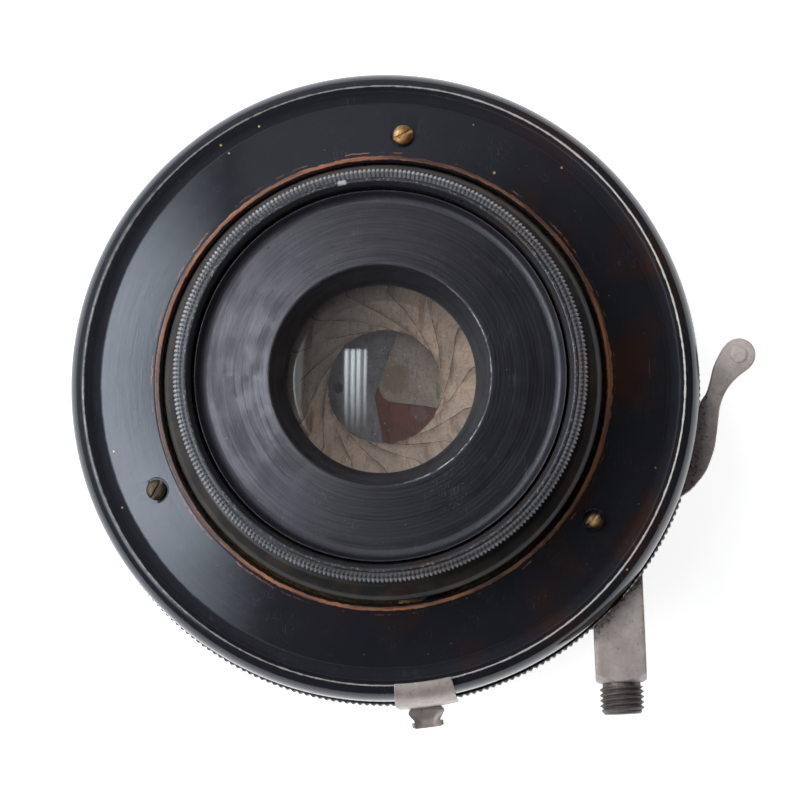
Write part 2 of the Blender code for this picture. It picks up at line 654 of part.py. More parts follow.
BLACK_ENAMEL = material("black_enamel", (0.012, 0.012, 0.015), 0.2, 0.0)
BRASS = material("brass", (0.55, 0.36, 0.14), 0.35, 1.0)
NICKEL = material("aged_nickel", (0.36, 0.31, 0.29), 0.45, 1.0)
BLADE_STEEL = material("blade_steel", (0.42, 0.36, 0.29), 0.5, 0.8)
GLASS = material("glass", (0.85, 0.9, 0.92), 0.03, 0.0)

AXIS = bpy.data.objects.new("optical_axis", None)
AXIS.location = (AXIS_X * MM, AXIS_Y * MM, 0)
bpy.context.scene.collection.objects.link(AXIS)

make_case()
make_back_screws()
make_rear_cell()
make_front_cell()
make_plates()
make_speed_ring()
make_iris()
make_pointer()
make_shutter()
make_release()
make_gears()
make_main_spring()
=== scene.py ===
"""Looks for the portrait lens in its round leaf shutter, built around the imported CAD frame.

Profiles and outlines are in millimetres from the optical axis, with the height above the front rim.
"""

import contextlib
import json
from math import asin, atan, atan2, cos, degrees, pi, radians, sin, sqrt

import bmesh
import bpy
import numpy as np
from mathutils import Matrix, Vector
from mathutils.geometry import convex_hull_2d, tessellate_polygon


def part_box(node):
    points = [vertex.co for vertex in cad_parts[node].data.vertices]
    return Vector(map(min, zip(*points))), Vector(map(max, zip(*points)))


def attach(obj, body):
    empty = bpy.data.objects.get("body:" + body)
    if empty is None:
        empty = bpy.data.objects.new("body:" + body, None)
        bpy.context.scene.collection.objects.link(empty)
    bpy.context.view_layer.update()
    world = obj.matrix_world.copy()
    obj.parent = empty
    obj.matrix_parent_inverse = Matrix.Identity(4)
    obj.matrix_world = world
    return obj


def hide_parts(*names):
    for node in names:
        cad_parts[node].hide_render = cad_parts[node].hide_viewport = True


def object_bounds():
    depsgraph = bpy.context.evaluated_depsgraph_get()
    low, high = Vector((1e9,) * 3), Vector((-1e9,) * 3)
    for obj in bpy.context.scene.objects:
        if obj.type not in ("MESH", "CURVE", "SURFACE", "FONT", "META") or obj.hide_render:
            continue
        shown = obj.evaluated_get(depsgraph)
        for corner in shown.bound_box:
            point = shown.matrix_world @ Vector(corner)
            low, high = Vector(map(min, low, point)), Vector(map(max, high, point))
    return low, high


MM = 0.001
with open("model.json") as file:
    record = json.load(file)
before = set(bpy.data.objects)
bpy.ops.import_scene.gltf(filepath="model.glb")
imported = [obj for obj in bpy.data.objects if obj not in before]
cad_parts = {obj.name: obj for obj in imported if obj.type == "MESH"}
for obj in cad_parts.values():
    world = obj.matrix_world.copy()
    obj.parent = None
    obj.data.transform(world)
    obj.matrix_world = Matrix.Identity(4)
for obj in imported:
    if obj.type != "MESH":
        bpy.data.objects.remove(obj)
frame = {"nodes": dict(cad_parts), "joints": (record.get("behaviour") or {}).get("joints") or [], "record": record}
cad_low, cad_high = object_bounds()
RECORD = frame["record"]
JOINTS = {joint["name"]: joint for joint in frame["joints"]}
BODY_OF = {n: b for b, nodes in RECORD["behaviour"]["bodies"].items() for n in nodes}
SLOT_OF = {part["node"]: part["material_slot"] for part in RECORD["subparts"]}
AXIS = Vector(JOINTS["iris_control_turn"]["pos_m"][:2]) / MM


# Geometry helpers

def polar(radius, angle):
    return np.array([radius * cos(radians(angle)), radius * sin(radians(angle))])


def turn(points, angle):
    c, s = cos(radians(angle)), sin(radians(angle))
    points = np.asarray(points, float)
    return np.stack([c * points[..., 0] - s * points[..., 1], s * points[..., 0] + c * points[..., 1]], -1)


def arc(radius, start, end, count, centre=(0, 0)):
    angles = np.radians(np.linspace(start, end, count + 1))
    return np.stack([centre[0] + radius * np.cos(angles), centre[1] + radius * np.sin(angles)], 1)


def oval(centre, radii, start, end, count):
    return [(centre[0] + radii[0] * cos(t), centre[1] + radii[1] * sin(t))
            for t in np.radians(np.linspace(start, end, count))]


def circle(radius, centre=(0, 0), count=48):
    return arc(radius, 0, 360, count, centre)[:-1]


def rounded(points, steps=4):
    """A closed outline whose corners are rounded: a point's third number is how far its corner is cut."""
    found = []
    for i, point in enumerate(points):
        corner = np.array(point[:2], float)
        cut = point[2] if len(point) > 2 else 0
        if cut == 0:
            found.append(corner)
            continue
        before, after = np.array(points[i - 1][:2]), np.array(points[(i + 1) % len(points)][:2])
        back, ahead = before - corner, after - corner
        cut = min(cut, 0.48 * np.linalg.norm(back), 0.48 * np.linalg.norm(ahead))
        first = corner + back / np.linalg.norm(back) * cut
        last = corner + ahead / np.linalg.norm(ahead) * cut
        for t in np.linspace(0, 1, steps + 1):
            found.append((1 - t) ** 2 * first + 2 * t * (1 - t) * corner + t * t * last)
    return np.array(found)


def smooth_line(rows, steps=8):
    """Catmull-Rom rows through the given rows."""
    rows = np.array(rows, float)
    found = []
    for i in range(len(rows) - 1):
        a, b, c, d = rows[max(i - 1, 0)], rows[i], rows[i + 1], rows[min(i + 2, len(rows) - 1)]
        for t in np.arange(steps) / steps:
            found.append(0.5 * (2 * b + (c - a) * t + (2 * a - 5 * b + 4 * c - d) * t**2
                                + (3 * b - a - 3 * c + d) * t**3))
    return np.array(found + [rows[-1]])


def outward(outline):
    """Unit normals of a closed outline, pointing out of it."""
    ahead = np.roll(outline, -1, 0) - np.roll(outline, 1, 0)
    ahead /= np.maximum(np.linalg.norm(ahead, axis=1, keepdims=True), 1e-9)
    area = np.sum(outline[:, 0] * np.roll(outline[:, 1], -1) - np.roll(outline[:, 0], -1) * outline[:, 1])
    sign = 1 if area > 0 else -1
    return np.stack([ahead[:, 1], -ahead[:, 0]], 1) * sign


def shifted(x, y, z=0):
    return Matrix.Translation(Vector((x, y, z)) * MM)


def add_object(name, data):
    made = bpy.data.objects.new(name, data)
    bpy.context.scene.collection.objects.link(made)
    return made


@contextlib.contextmanager
def edited(made):
    """Opens an object's mesh for editing and writes it back."""
    shape = bmesh.new()
    shape.from_mesh(made.data)
    yield shape
    shape.to_mesh(made.data)
    shape.free()


def smooth_shading(target, sharp):
    """Smooth shading, apart from edges sharper than this many degrees."""
    target.data.shade_smooth()
    target.data.set_sharp_from_angle(angle=radians(sharp))


def make_object(name, points, faces, sharp=32):
    points = np.array(points, float)
    points[:, :2] += AXIS
    mesh = bpy.data.meshes.new(name)
    mesh.from_pydata((points * MM).tolist(), [], [list(map(int, f)) for f in faces])
    made = add_object(name, mesh)
    with edited(made) as shape:
        if shape.calc_volume(signed=True) < 0:
            bmesh.ops.reverse_faces(shape, faces=shape.faces)
    smooth_shading(made, sharp)
    return made


def grid_faces(rows, columns, wrap_rows, wrap_columns):
    faces = []
    for i in range(rows if wrap_rows else rows - 1):
        a, b = i * columns, (i + 1) % rows * columns
        for k in range(columns if wrap_columns else columns - 1):
            n = (k + 1) % columns
            faces.append((a + k, a + n, b + n, b + k))
    return faces


def revolve(name, profile, segments=256, shape=None, start=0, sweep=360, sharp=32):
    """Turns a closed profile of radius and height. shape(radius, z, angle) may move the points."""
    profile = np.asarray(profile, float)
    whole = sweep == 360
    count = segments if whole else segments + 1
    angles = np.radians(start + sweep * np.arange(count) / segments)
    radius = np.repeat(profile[None, :, 0], count, 0)
    z = np.repeat(profile[None, :, 1], count, 0)
    spread = np.repeat(angles[:, None], len(profile), 1)
    if shape:
        radius, z = shape(radius, z, spread)
    points = np.stack([radius * np.cos(spread), radius * np.sin(spread), z], -1).reshape(-1, 3)
    faces = grid_faces(count, len(profile), whole, True)
    if not whole:
        faces.append(tuple(range(len(profile)))[::-1])
        faces.append(tuple(range((count - 1) * len(profile), count * len(profile))))
    made = make_object(name, points, faces, sharp)
    if (profile[:, 0] == 0).any():
        merge(made)
    return made


def merge(made, distance=1e-7):
    with edited(made) as shape:
        bmesh.ops.remove_doubles(shape, verts=shape.verts, dist=distance)


def slab(name, outline, z, bevel=0.15, holes=(), steps=3, sharp=32):
    """A plate with rounded edges: outline and holes at heights z[0] to z[1]."""
    loops = [np.asarray(outline, float), *[np.asarray(h, float) for h in holes]]
    turns = [(bevel * (1 - sin(t)), z[0] + bevel * (1 - cos(t))) for t in np.linspace(0, pi / 2, steps + 1)]
    levels = turns + [(inset, z[0] + z[1] - height) for inset, height in reversed(turns)]
    points, faces, starts = [], [], []
    for k, loop in enumerate(loops):
        normal = outward(loop) * (1 if k == 0 else -1)
        starts.append(len(points))
        for inset, height in levels:
            points += [(x, y, height) for x, y in loop - normal * inset]
        base = starts[-1]
        faces += [tuple(base + v for v in f) for f in grid_faces(len(levels), len(loop), False, True)]
    flat = [[(Vector((*points[s + i][:2], 0))) for i in range(len(loop))] for s, loop in zip(starts, loops)]
    index = [s + i for s, loop in zip(starts, loops) for i in range(len(loop))]
    lift = [s + (len(levels) - 1) * len(loop) + i for s, loop in zip(starts, loops) for i in range(len(loop))]
    for tri in tessellate_polygon(flat):
        faces.append(tuple(index[v] for v in tri))
        faces.append(tuple(lift[v] for v in reversed(tri)))
    made = make_object(name, points, faces, sharp)
    with edited(made) as shape:
        bmesh.ops.recalc_face_normals(shape, faces=shape.faces)
        if shape.calc_volume(signed=True) < 0:
            bmesh.ops.reverse_faces(shape, faces=shape.faces)
    made.data.set_sharp_from_angle(angle=radians(sharp))
    return made


def apply_modifiers(target):
    bpy.context.view_layer.update()
    target.data = bpy.data.meshes.new_from_object(target.evaluated_get(bpy.context.evaluated_depsgraph_get()))
    target.modifiers.clear()


def boolean(target, operation, others, sharp=32):
    for other in others:
        step = target.modifiers.new("step", "BOOLEAN")
        step.operation = operation
        step.solver = "EXACT"
        step.object = other
    apply_modifiers(target)
    for other in others:
        bpy.data.objects.remove(other)
    smooth_shading(target, sharp)
    return target


def bevelled(target, width, segments, limit):
    """Rounds the edges that turn by more than limit degrees."""
    bevel = target.modifiers.new("bevel", "BEVEL")
    bevel.width = width * MM
    bevel.segments = segments
    bevel.limit_method = "ANGLE"
    bevel.angle_limit = radians(limit)
    apply_modifiers(target)


def joined(target, *others):
    """Joins meshes that only touch into one object."""
    with edited(target) as shape:
        for other in others:
            shape.from_mesh(other.data)
            bpy.data.objects.remove(other)
    return target


def finish(made, look, *nodes):
    """Gives a piece its material, its body and the CAD nodes that it stands for."""
    made.data.materials.clear()
    made.data.materials.append(LOOK[look])
    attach(made, BODY_OF[nodes[0]])
    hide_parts(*nodes)
    return made


# Materials

def put(tree, socket, value):
    """Sets a socket to a value, or links it to another node's output."""
    if isinstance(value, bpy.types.NodeSocket):
        tree.links.new(value, socket)
    elif isinstance(value, (tuple, list)) and len(value) == 3 and socket.type == "RGBA":
        socket.default_value = (*value, 1)
    else:
        socket.default_value = value


def add_node(tree, kind, inputs, output=0, **settings):
    """Adds a node. inputs holds what to put into each socket, by its name or number."""
    node = tree.nodes.new("ShaderNode" + kind)
    for name, value in settings.items():
        setattr(node, name, value)
    for name, value in inputs.items():
        put(tree, node.inputs[name], value)
    return node.outputs[output]


class Graph:
    """A short way to write a material. Positions are in millimetres from the optical axis."""

    def __init__(self, name):
        self.material = bpy.data.materials.new(name)
        self.material.use_nodes = True
        self.tree = self.material.node_tree
        self.shader = self.tree.nodes["Principled BSDF"]
        self.colour = None
        place = self.node("TexCoord", {}, "Object")
        place = self.node("VectorMath", {0: place, 1: (AXIS[0] * MM, AXIS[1] * MM, 0)}, operation="SUBTRACT")
        self.place = self.node("VectorMath", {0: place, "Scale": 1 / MM}, operation="SCALE")
        self.x, self.y, self.z = self.node("SeparateXYZ", {0: self.place}, slice(3))
        squares = self.plus(self.times(self.x, self.x), self.times(self.y, self.y))
        self.r = self.math("SQRT", squares)
        self.angle = self.times(self.math("ARCTAN2", self.y, self.x), 180 / pi)

    def node(self, kind, inputs, output=0, **settings):
        return add_node(self.tree, kind, inputs, output, **settings)

    def math(self, operation, *values):
        return self.node("Math", dict(enumerate(values)), operation=operation)

    def plus(self, a, b):
        return self.math("ADD", a, b)

    def minus(self, a, b):
        return self.math("SUBTRACT", a, b)

    def step(self, value, low, high, to_low=0, to_high=1):
        """A smooth change from to_low to to_high while value goes from low to high."""
        return self.node("MapRange", {
            "Value": value, "From Min": low, "From Max": high, "To Min": to_low, "To Max": to_high
        }, interpolation_type="SMOOTHSTEP")

    def band(self, value, centre, half, soft):
        """1 within half of centre, and 0 further away than half + soft."""
        away = self.math("ABSOLUTE", self.minus(value, centre))
        return self.step(away, half, self.plus(half, soft), 1, 0)

    def within(self, low, high, soft=6):
        """1 where the angle round the axis is between low and high degrees."""
        middle, half = (low + high) / 2, (high - low) / 2
        moved = self.plus(self.minus(self.angle, middle), 540)
        away = self.math("ABSOLUTE", self.minus(self.math("MODULO", moved, 360), 180))
        return self.step(away, half - soft, half + soft, 1, 0)

    def vector(self, x, y, z):
        return self.node("CombineXYZ", {0: x, 1: y, 2: z})

    def noise(self, scale, detail=3, rough=0.5, seed=0, distort=0, at=None):
        return self.node("TexNoise", {
            "Vector": at or self.place, "W": seed, "Scale": scale, "Detail": detail, "Roughness": rough,
            "Distortion": distort
        }, noise_dimensions="4D")

    def cells(self, scale):
        """The distance to the nearest of many scattered points."""
        return self.node("TexVoronoi", {"Vector": self.place, "Scale": scale}, "Distance")

    def mix(self, factor, a, b):
        return self.node("Mix", {"Factor": factor, 6: a, 7: b}, 2, data_type="RGBA")

    def blend(self, factor, a, b):
        return self.node("Mix", {"Factor": factor, 2: a, 3: b})

    def times(self, *values):
        found = values[0]
        for value in values[1:]:
            found = self.math("MULTIPLY", found, value)
        return found

    def most(self, *values):
        found = values[0]
        for value in values[1:]:
            found = self.math("MAXIMUM", found, value)
        return found

    def paint(self, mask, colour, share=1):
        """Lays a colour over the base colour where the mask is on, as strongly as share says."""
        if share != 1:
            mask = self.times(mask, share)
        self.colour = self.mix(mask, self.colour, colour)

    def bump(self, height, strength=0.3, distance=0.05):
        inputs = {"Strength": strength, "Distance": distance * MM, "Height": height}
        if self.shader.inputs["Normal"].is_linked:
            inputs["Normal"] = self.shader.inputs["Normal"].links[0].from_socket
        put(self.tree, self.shader.inputs["Normal"], self.node("Bump", inputs))

    def set(self, **values):
        """Sets the shader's sockets and gives back the material."""
        if self.colour:
            values["Base_Color"] = self.colour
        for name, value in values.items():
            put(self.tree, self.shader.inputs[name.replace("_", " ")], value)
        return self.material

    def polar_place(self, per_mm=1, round_mm=1):
        """A vector for streaks that run round the axis: radius, a slow turn, and height."""
        about = self.times(self.angle, round_mm)
        return self.vector(self.times(self.r, per_mm), about, self.times(self.z, per_mm))

    def stretched(self, angle, share):
        """Positions turned by this many degrees, with only this share of their second coordinate."""
        return self.node(
            "Mapping", {"Vector": self.place, "Rotation": (0, 0, radians(angle)), "Scale": (1, share, 1)}
        )

    def scratches(self, scale, width, seed=0, stretch=0.03, angle=0):
        """Thin broken lines, 1 on a scratch."""
        line = self.noise(scale, 0, 0.4, seed, at=self.stretched(angle, stretch))
        on_line = self.band(line, 0.5, width, width)
        gaps = self.step(self.noise(0.22, 3, 0.6, seed + 3), 0.55, 0.68)
        return self.times(on_line, gaps)

    def away(self, x, y):
        """The distance from a point, seen along the axis."""
        a, b = self.minus(self.x, x), self.minus(self.y, y)
        return self.math("SQRT", self.plus(self.times(a, a), self.times(b, b)))

    def spot(self, x, y, radius, soft=0.1):
        """1 within this distance of a point, seen along the axis."""
        edge = self.noise(min(2.2, 1.7 / radius), 4, 0.65, 0, 0.3)
        ragged = self.plus(self.away(x, y), self.times(edge, radius * 0.8))
        return self.step(ragged, radius * 1.4 - soft, radius * 1.4 + soft, 1, 0)

    def teeth(self, count):
        """1 on the crests of a knurl that has this many teeth, and 0 in its grooves."""
        phase = self.math("FRACT", self.times(self.plus(self.angle, 360), count / 360))
        return self.minus(1, self.math("ABSOLUTE", self.minus(self.times(phase, 2), 1)))

    def specks(self, scale, size, seed=0, share=0.62):
        """Small round spots, 1 in a spot."""
        spot = self.math("LESS_THAN", self.cells(scale), size)
        where = self.step(self.noise(0.9, 2, 0.5, seed), share, share + 0.05)
        return self.times(spot, where)


TEETH_REAR = 288
TEETH_FRONT = 290
BRIGHT_BRASS = (0.62, 0.42, 0.2)
COPPER = (0.4, 0.155, 0.062)


def shaded(colour, share):
    return tuple(share * c for c in colour)


def enamel(name, worn=(), rough=0.13, dust=1, tint=(0.0085, 0.0085, 0.011), lines=0, dirt=None):
    """Glossy black enamel. worn holds rows of a mask (a function of the graph), a colour and a roughness: worn
    places, and on the barrel also a painted highlight on its knurl.
    """
    g = Graph(name)
    cloudy = g.noise(0.12, 4, 0.55)
    g.colour = g.mix(cloudy, tint, shaded(tint, 2.2))
    brown = g.step(g.noise(0.09, 3, 0.5, 4), 0.45, 0.65)
    g.paint(g.times(brown, g.within(-80, 50, 40)), (0.034, 0.0135, 0.0085))
    scratch = g.most(g.scratches(2.6, 0.006, 1, 0.02, 20), g.scratches(2.2, 0.005, 7, 0.025, 83),
                     g.scratches(2.9, 0.005, 11, 0.018, 148))
    spots = g.most(g.specks(0.55, 0.05, 2, 0.57), g.specks(1.3, 0.05, 9, 0.54))
    g.paint(spots, (0.2, 0.19, 0.18), 0.75 * dust)
    g.paint(scratch, (0.11, 0.11, 0.12), 0.36 * dust)
    round_streaks = g.noise(0.9, 4, 0.65, 17, at=g.polar_place(1, 0.03))
    patches = g.noise(0.3, 5, 0.6, 2)
    roughness = g.blend(g.times(g.plus(patches, round_streaks), 0.5), rough * 0.4, rough * 1.9)
    metallic = 0.0
    for mask, paint, shine in worn:
        on = mask(g)
        g.paint(on, paint)
        roughness = g.blend(on, roughness, shine)
        share = g.times(on, 0.5)
        metallic = share if isinstance(metallic, float) else g.most(metallic, share)
    level = 0.5
    if dirt:
        on = dirt(g)
        roughness = g.blend(on, roughness, 0.75)
        level = g.blend(on, level, 0.12)
    g.bump(g.noise(0.55, 3, 0.5, 5), 0.05, 0.25)
    g.bump(round_streaks, 0.3, 0.05)
    g.bump(g.minus(1, g.most(scratch, spots)), 0.14, 0.02)
    if lines:
        rings = g.noise(2.6, 3, 0.7, 3, at=g.polar_place(1, 0.006))
        g.bump(rings, lines, 0.05)
    return g.set(
        Roughness=roughness, Metallic=metallic, IOR=1.5, Specular_IOR_Level=level,
        Specular_Tint=(0.84, 0.91, 1)
    )


def rim_wear(g):
    """The crest of the rim, rubbed bright all the way round, and wider to the right and at the bottom."""
    ragged = g.times(g.noise(1.1, 4, 0.65, 6), 0.33)
    wide = g.times(g.within(-75, 80, 30), 0.045)
    half = g.plus(g.minus(ragged, 0.1), wide)
    line = g.band(g.r, 42.87, g.math("MAXIMUM", half, 0.01), 0.045)
    return g.times(line, g.step(g.z, 33.2, 33.5))


def valley_dirt(g):
    """Old dirt in the valley behind the rim, which dulls it."""
    ragged = g.times(g.noise(0.7, 4, 0.6, 15), 0.3)
    return g.times(g.band(g.r, 41.25, g.plus(ragged, 0.45), 0.5), g.step(g.z, 32.6, 32.9))


def lip_wear(g):
    """The edge of the hole in the back, worn to brown metal in patches and fine lines."""
    ragged = g.times(g.minus(g.noise(0.8, 4, 0.7, 8), 0.5), 0.7)
    edge = g.plus(g.r, ragged)
    patches = g.step(g.noise(0.11, 3, 0.6, 12), 0.36, 0.56)
    more = g.most(g.within(95, 170, 12), g.within(230, 300, 14), g.within(-25, 20, 10))
    fine = g.times(g.band(edge, 32.95, 0.06, 0.05), g.step(g.noise(0.3, 3, 0.6, 31), 0.5, 0.6), 0.6)
    half = g.blend(g.within(-28, 25, 8), 0.2, 0.34)
    top = g.times(g.band(edge, 32.16, half, 0.1), g.blend(more, 0.5, 1))
    streak = g.step(g.noise(1.6, 3, 0.6, 1, at=g.polar_place(1.6, 0.03)), 0.36, 0.54)
    on_top = g.step(g.z, 36, 36.15)
    return g.times(g.most(fine, g.times(top, g.blend(streak, 0.4, 1))), on_top, g.blend(patches, 0.5, 1))


CHIPS = (
    (-23.4, 34.5, 0.17), (-22.2, 33.3, 0.13), (-17.9, 37.2, 0.13), (15.8, 30, 0.2), (25.4, 31, 0.16),
    (-38.5, -9.5, 0.13), (-37.3, -17.5, 0.11), (34.5, -26.5, 0.14), (38.6, -12, 0.12), (12.8, 37.2, 0.1)
)


def chips(g):
    """A few small chips down to brass."""
    return g.times(g.most(*[g.spot(x, y, size, 0.05) for x, y, size in CHIPS]), g.step(g.z, 32.5, 32.8))


def foot_wear(g):
    """The edge of the case's front, rubbed in short stretches."""
    return g.times(g.step(g.z, 22.15, 22), g.step(g.noise(0.5, 3), 0.5, 0.6))


def make_materials():
    made = {}
    pale = (0.25, 0.235, 0.22)
    made["case"] = enamel("black_enamel_case", [
        (rim_wear, (0.38, 0.355, 0.33), 0.45), (lip_wear, COPPER, 0.5), (chips, BRIGHT_BRASS, 0.4),
        (foot_wear, pale, 0.5)
    ], 0.12, dirt=valley_dirt)

    def bead_wear_and_highlight(g):
        # Painted highlight on the knurl's crests and painted shade in its grooves: crest lightens the teeth where
        # they catch the light, on the shoulder and the ring inside it.
        crest = g.step(g.teeth(TEETH_REAR), 0.15, 0.75)
        outer = g.times(g.band(g.r, 28.85, 0.3, 0.15), g.step(g.z, 46.4, 47), g.blend(crest, 0.12, 0.8))
        top = g.times(g.band(g.r, 28.1, 0.3, 0.1), g.blend(crest, 0.03, 0.25))
        # The broken lip and the nick are chips in the enamel.
        lip = g.times(g.band(g.r, 27.4, 0.14, 0.12), g.step(g.z, 48.3, 48.6))
        broken = g.step(g.noise(2.4, 4, 0.7, 3), 0.52, 0.68)
        patchy = g.blend(g.step(g.noise(0.2, 3, 0.6, 23), 0.4, 0.6), 0.6, 1)
        nick = g.times(g.band(g.r, 27.4, 0.3, 0.06), g.within(100, 102.4, 0.25))
        # Painted light: the knurled bead is lighter to the upper left, toward the window.
        patchy = g.times(patchy, g.blend(g.within(50, 215, 40), 0.42, 1))
        return g.most(g.times(g.most(outer, top), patchy), g.times(lip, broken, 0.5), nick)

    made["barrel"] = enamel(
        "black_enamel_barrel", [(bead_wear_and_highlight, (0.42, 0.42, 0.44), 0.42)], 0.24, 0.8, (0.014, 0.0135, 0.015), 0.2
    )

    def ring_edge(g):
        tarnish = g.step(g.noise(0.35, 4, 0.6, 5), 0.4, 0.62)
        return g.times(g.step(g.z, 36.6, 37.6), g.times(tarnish, 0.08))

    made["flange"] = enamel(
        "browned_flange", [(ring_edge, (0.3, 0.2, 0.12), 0.5)], 0.3, 0.6, (0.011, 0.0095, 0.009), 0.3
    )

    def knurl_wear(g):
        rubbed = g.step(g.noise(0.7, 4, 0.7, 5), 0.5, 0.7)
        return g.times(g.step(g.r, 45.1, 45.3), g.times(rubbed, 0.55))

    made["knurl"] = enamel(
        "black_enamel_knurl", [(knurl_wear, (0.25, 0.19, 0.15), 0.45)], 0.26, 0.7, (0.016, 0.0125, 0.0115),
        0.15
    )

    def rub(g):
        edge = g.most(g.band(g.r, 25.95, 0.1, 0.08), g.band(g.r, 24.15, 0.08, 0.06))
        return g.times(edge, g.step(g.z, 0.6, 0.2), g.step(g.noise(0.9, 3, 0.6), 0.46, 0.6))

    made["front_barrel"] = enamel("black_enamel_front", [(rub, BRIGHT_BRASS, 0.36)], 0.2, 0.8, lines=0.2)
    made["plain_black"] = enamel("black_enamel_plain", [], 0.24, 0.7, lines=0.15)
    made["cap"] = satin_black()
    made["old_brass"] = brass("tarnished_brass", (0.42, 0.28, 0.11), 0.42)
    made["nickel"] = nickel("aged_nickel", 0.3, 0.62, 0.59)
    # Painted light: the lever and its rivet get a lighter copy of the nickel, since the case shades the lever.
    made["lever"] = nickel("aged_nickel_lever", 0.25, 1.12, 0.6)
    made["thread"] = nickel("dirty_nickel_thread", 0.4, 0.16, 0.52)
    made["glass"] = glass()
    return made


def satin_black():
    """Satin black turned metal: fine rings, streaks round the axis, pits and scratches."""
    g = Graph("satin_black_turned")
    rings = g.noise(3.4, 4, 0.75, 1, at=g.polar_place(1, 0.009))
    bands = g.noise(0.55, 4, 0.65, 5, at=g.polar_place(1, 0.02))
    cloudy = g.noise(0.22, 5, 0.65, 2, 0.3)
    g.colour = g.mix(g.step(rings, 0.3, 0.7), (0.004, 0.004, 0.006), (0.018, 0.0175, 0.024))
    # Painted sheen, not wear: rubbed makes the face lighter along its turned rings to the left, where the window
    # lights it, and more so toward the hole.
    rubbed = g.times(g.within(80, 235, 45), g.step(g.r, 25.5, 15, 0.5, 1), g.step(rings, 0.25, 0.7))
    g.paint(rubbed, (0.062, 0.056, 0.066))
    dark = g.times(g.plus(g.step(cloudy, 0.4, 0.62), g.step(bands, 0.45, 0.6)), 0.5)
    g.paint(dark, (0.007, 0.007, 0.009), 0.6)
    scratch = g.most(g.scratches(2.4, 0.006, 2, 0.02, 20), g.scratches(2, 0.005, 8, 0.02, 80),
                     g.scratches(2.7, 0.005, 5, 0.02, 140))
    spots = g.most(g.specks(0.8, 0.05, 3, 0.55), g.specks(1.7, 0.06, 6, 0.56))
    g.paint(spots, (0.3, 0.3, 0.3), 0.8)
    g.paint(scratch, (0.16, 0.16, 0.17), 0.3)
    # Painted shade in the turned grooves, drawn only on the lit left side of the face.
    wander = g.plus(g.r, g.times(g.noise(0.08, 2, 0.5, 21), 1.2))
    grooves = [g.band(wander, radius, 0.03, 0.07) for radius in (17.6, 18.5, 19.9, 21)]
    groove = g.times(g.most(*grooves), g.within(60, 250, 40), g.step(cloudy, 0.4, 0.5))
    g.paint(groove, (0.003, 0.003, 0.004), 0.8)
    pits = g.times(g.math("LESS_THAN", g.cells(0.21), 0.055), g.step(g.r, 16.5, 17.5))
    g.paint(pits, (0.003, 0.003, 0.004))
    # Painted highlight on the lip of the hole, to the right, where its rounded edge catches the light.
    lip = g.times(g.band(g.r, 15.5, 0.05, 0.05), g.step(g.z, 47.5, 47.75), g.within(-75, 45, 15))
    broken = g.step(g.noise(0.8, 4, 0.7, 13), 0.42, 0.6)
    g.paint(g.times(lip, broken), (0.5, 0.5, 0.52), 0.75)
    roughness = g.blend(dark, g.blend(rings, 0.27, 0.42), 0.58)
    g.bump(rings, 0.75, 0.05)
    g.bump(bands, 0.12, 0.1)
    g.bump(g.minus(1, g.most(spots, scratch, groove, pits)), 0.3, 0.04)
    return g.set(Roughness=roughness, IOR=1.6, Specular_Tint=(0.92, 0.91, 1))


def brass(name, colour, rough, core=None):
    """Brass with dirt. With a core it is only bright near that point."""
    g = Graph(name)
    patch = g.noise(0.9, 4, 0.6)
    worn = g.mix(g.step(patch, 0.35, 0.7), colour, shaded(colour, 0.55))
    dirt = g.step(g.noise(2.4, 3, 0.6, 5), 0.55, 0.68)
    worn = g.mix(g.times(dirt, 0.85), worn, (0.05, 0.03, 0.018))
    if core is not None:
        worn = g.mix(g.spot(*core, 0.7, 0.45), (0.035, 0.026, 0.02), worn)
    g.bump(g.noise(3.5, 3, 0.6), 0.25, 0.03)
    return g.set(Base_Color=worn, Roughness=g.blend(patch, rough, rough + 0.2), Metallic=1)


def nickel(name="aged_nickel", dirt=0.25, shade=1, pit=0.62):
    """Dull pinkish nickel with dark pits, more of them near the case."""
    g = Graph(name)
    patch = g.noise(0.45, 5, 0.6)
    dull, clean = shaded((0.53, 0.455, 0.42), shade), shaded((0.7, 0.61, 0.57), shade)
    g.colour = g.mix(g.step(patch, 0.35, 0.65), dull, clean)
    grain = g.noise(3.2, 4, 0.7, 4)
    g.paint(g.step(grain, 0.45, 0.7), (0.3, 0.25, 0.22), 0.3)
    near = g.step(g.r, 47.9, 45.6)
    pits = g.step(g.plus(g.noise(2.1, 4, 0.75, 9), g.times(near, 0.1)), pit, pit + 0.1)
    g.paint(pits, (0.1, 0.075, 0.065), 0.5 + dirt)
    bright = g.most(g.specks(1.4, 0.05, 5, 0.5), g.scratches(2.4, 0.008, 3, 0.02, 60))
    g.paint(bright, (0.7, 0.66, 0.62), 0.5)
    roughness = g.blend(pits, g.blend(grain, 0.36, 0.52), 0.7)
    g.bump(g.minus(1, pits), 0.25, 0.03)
    g.bump(grain, 0.2, 0.03)
    return g.set(Roughness=roughness, Metallic=0.35)


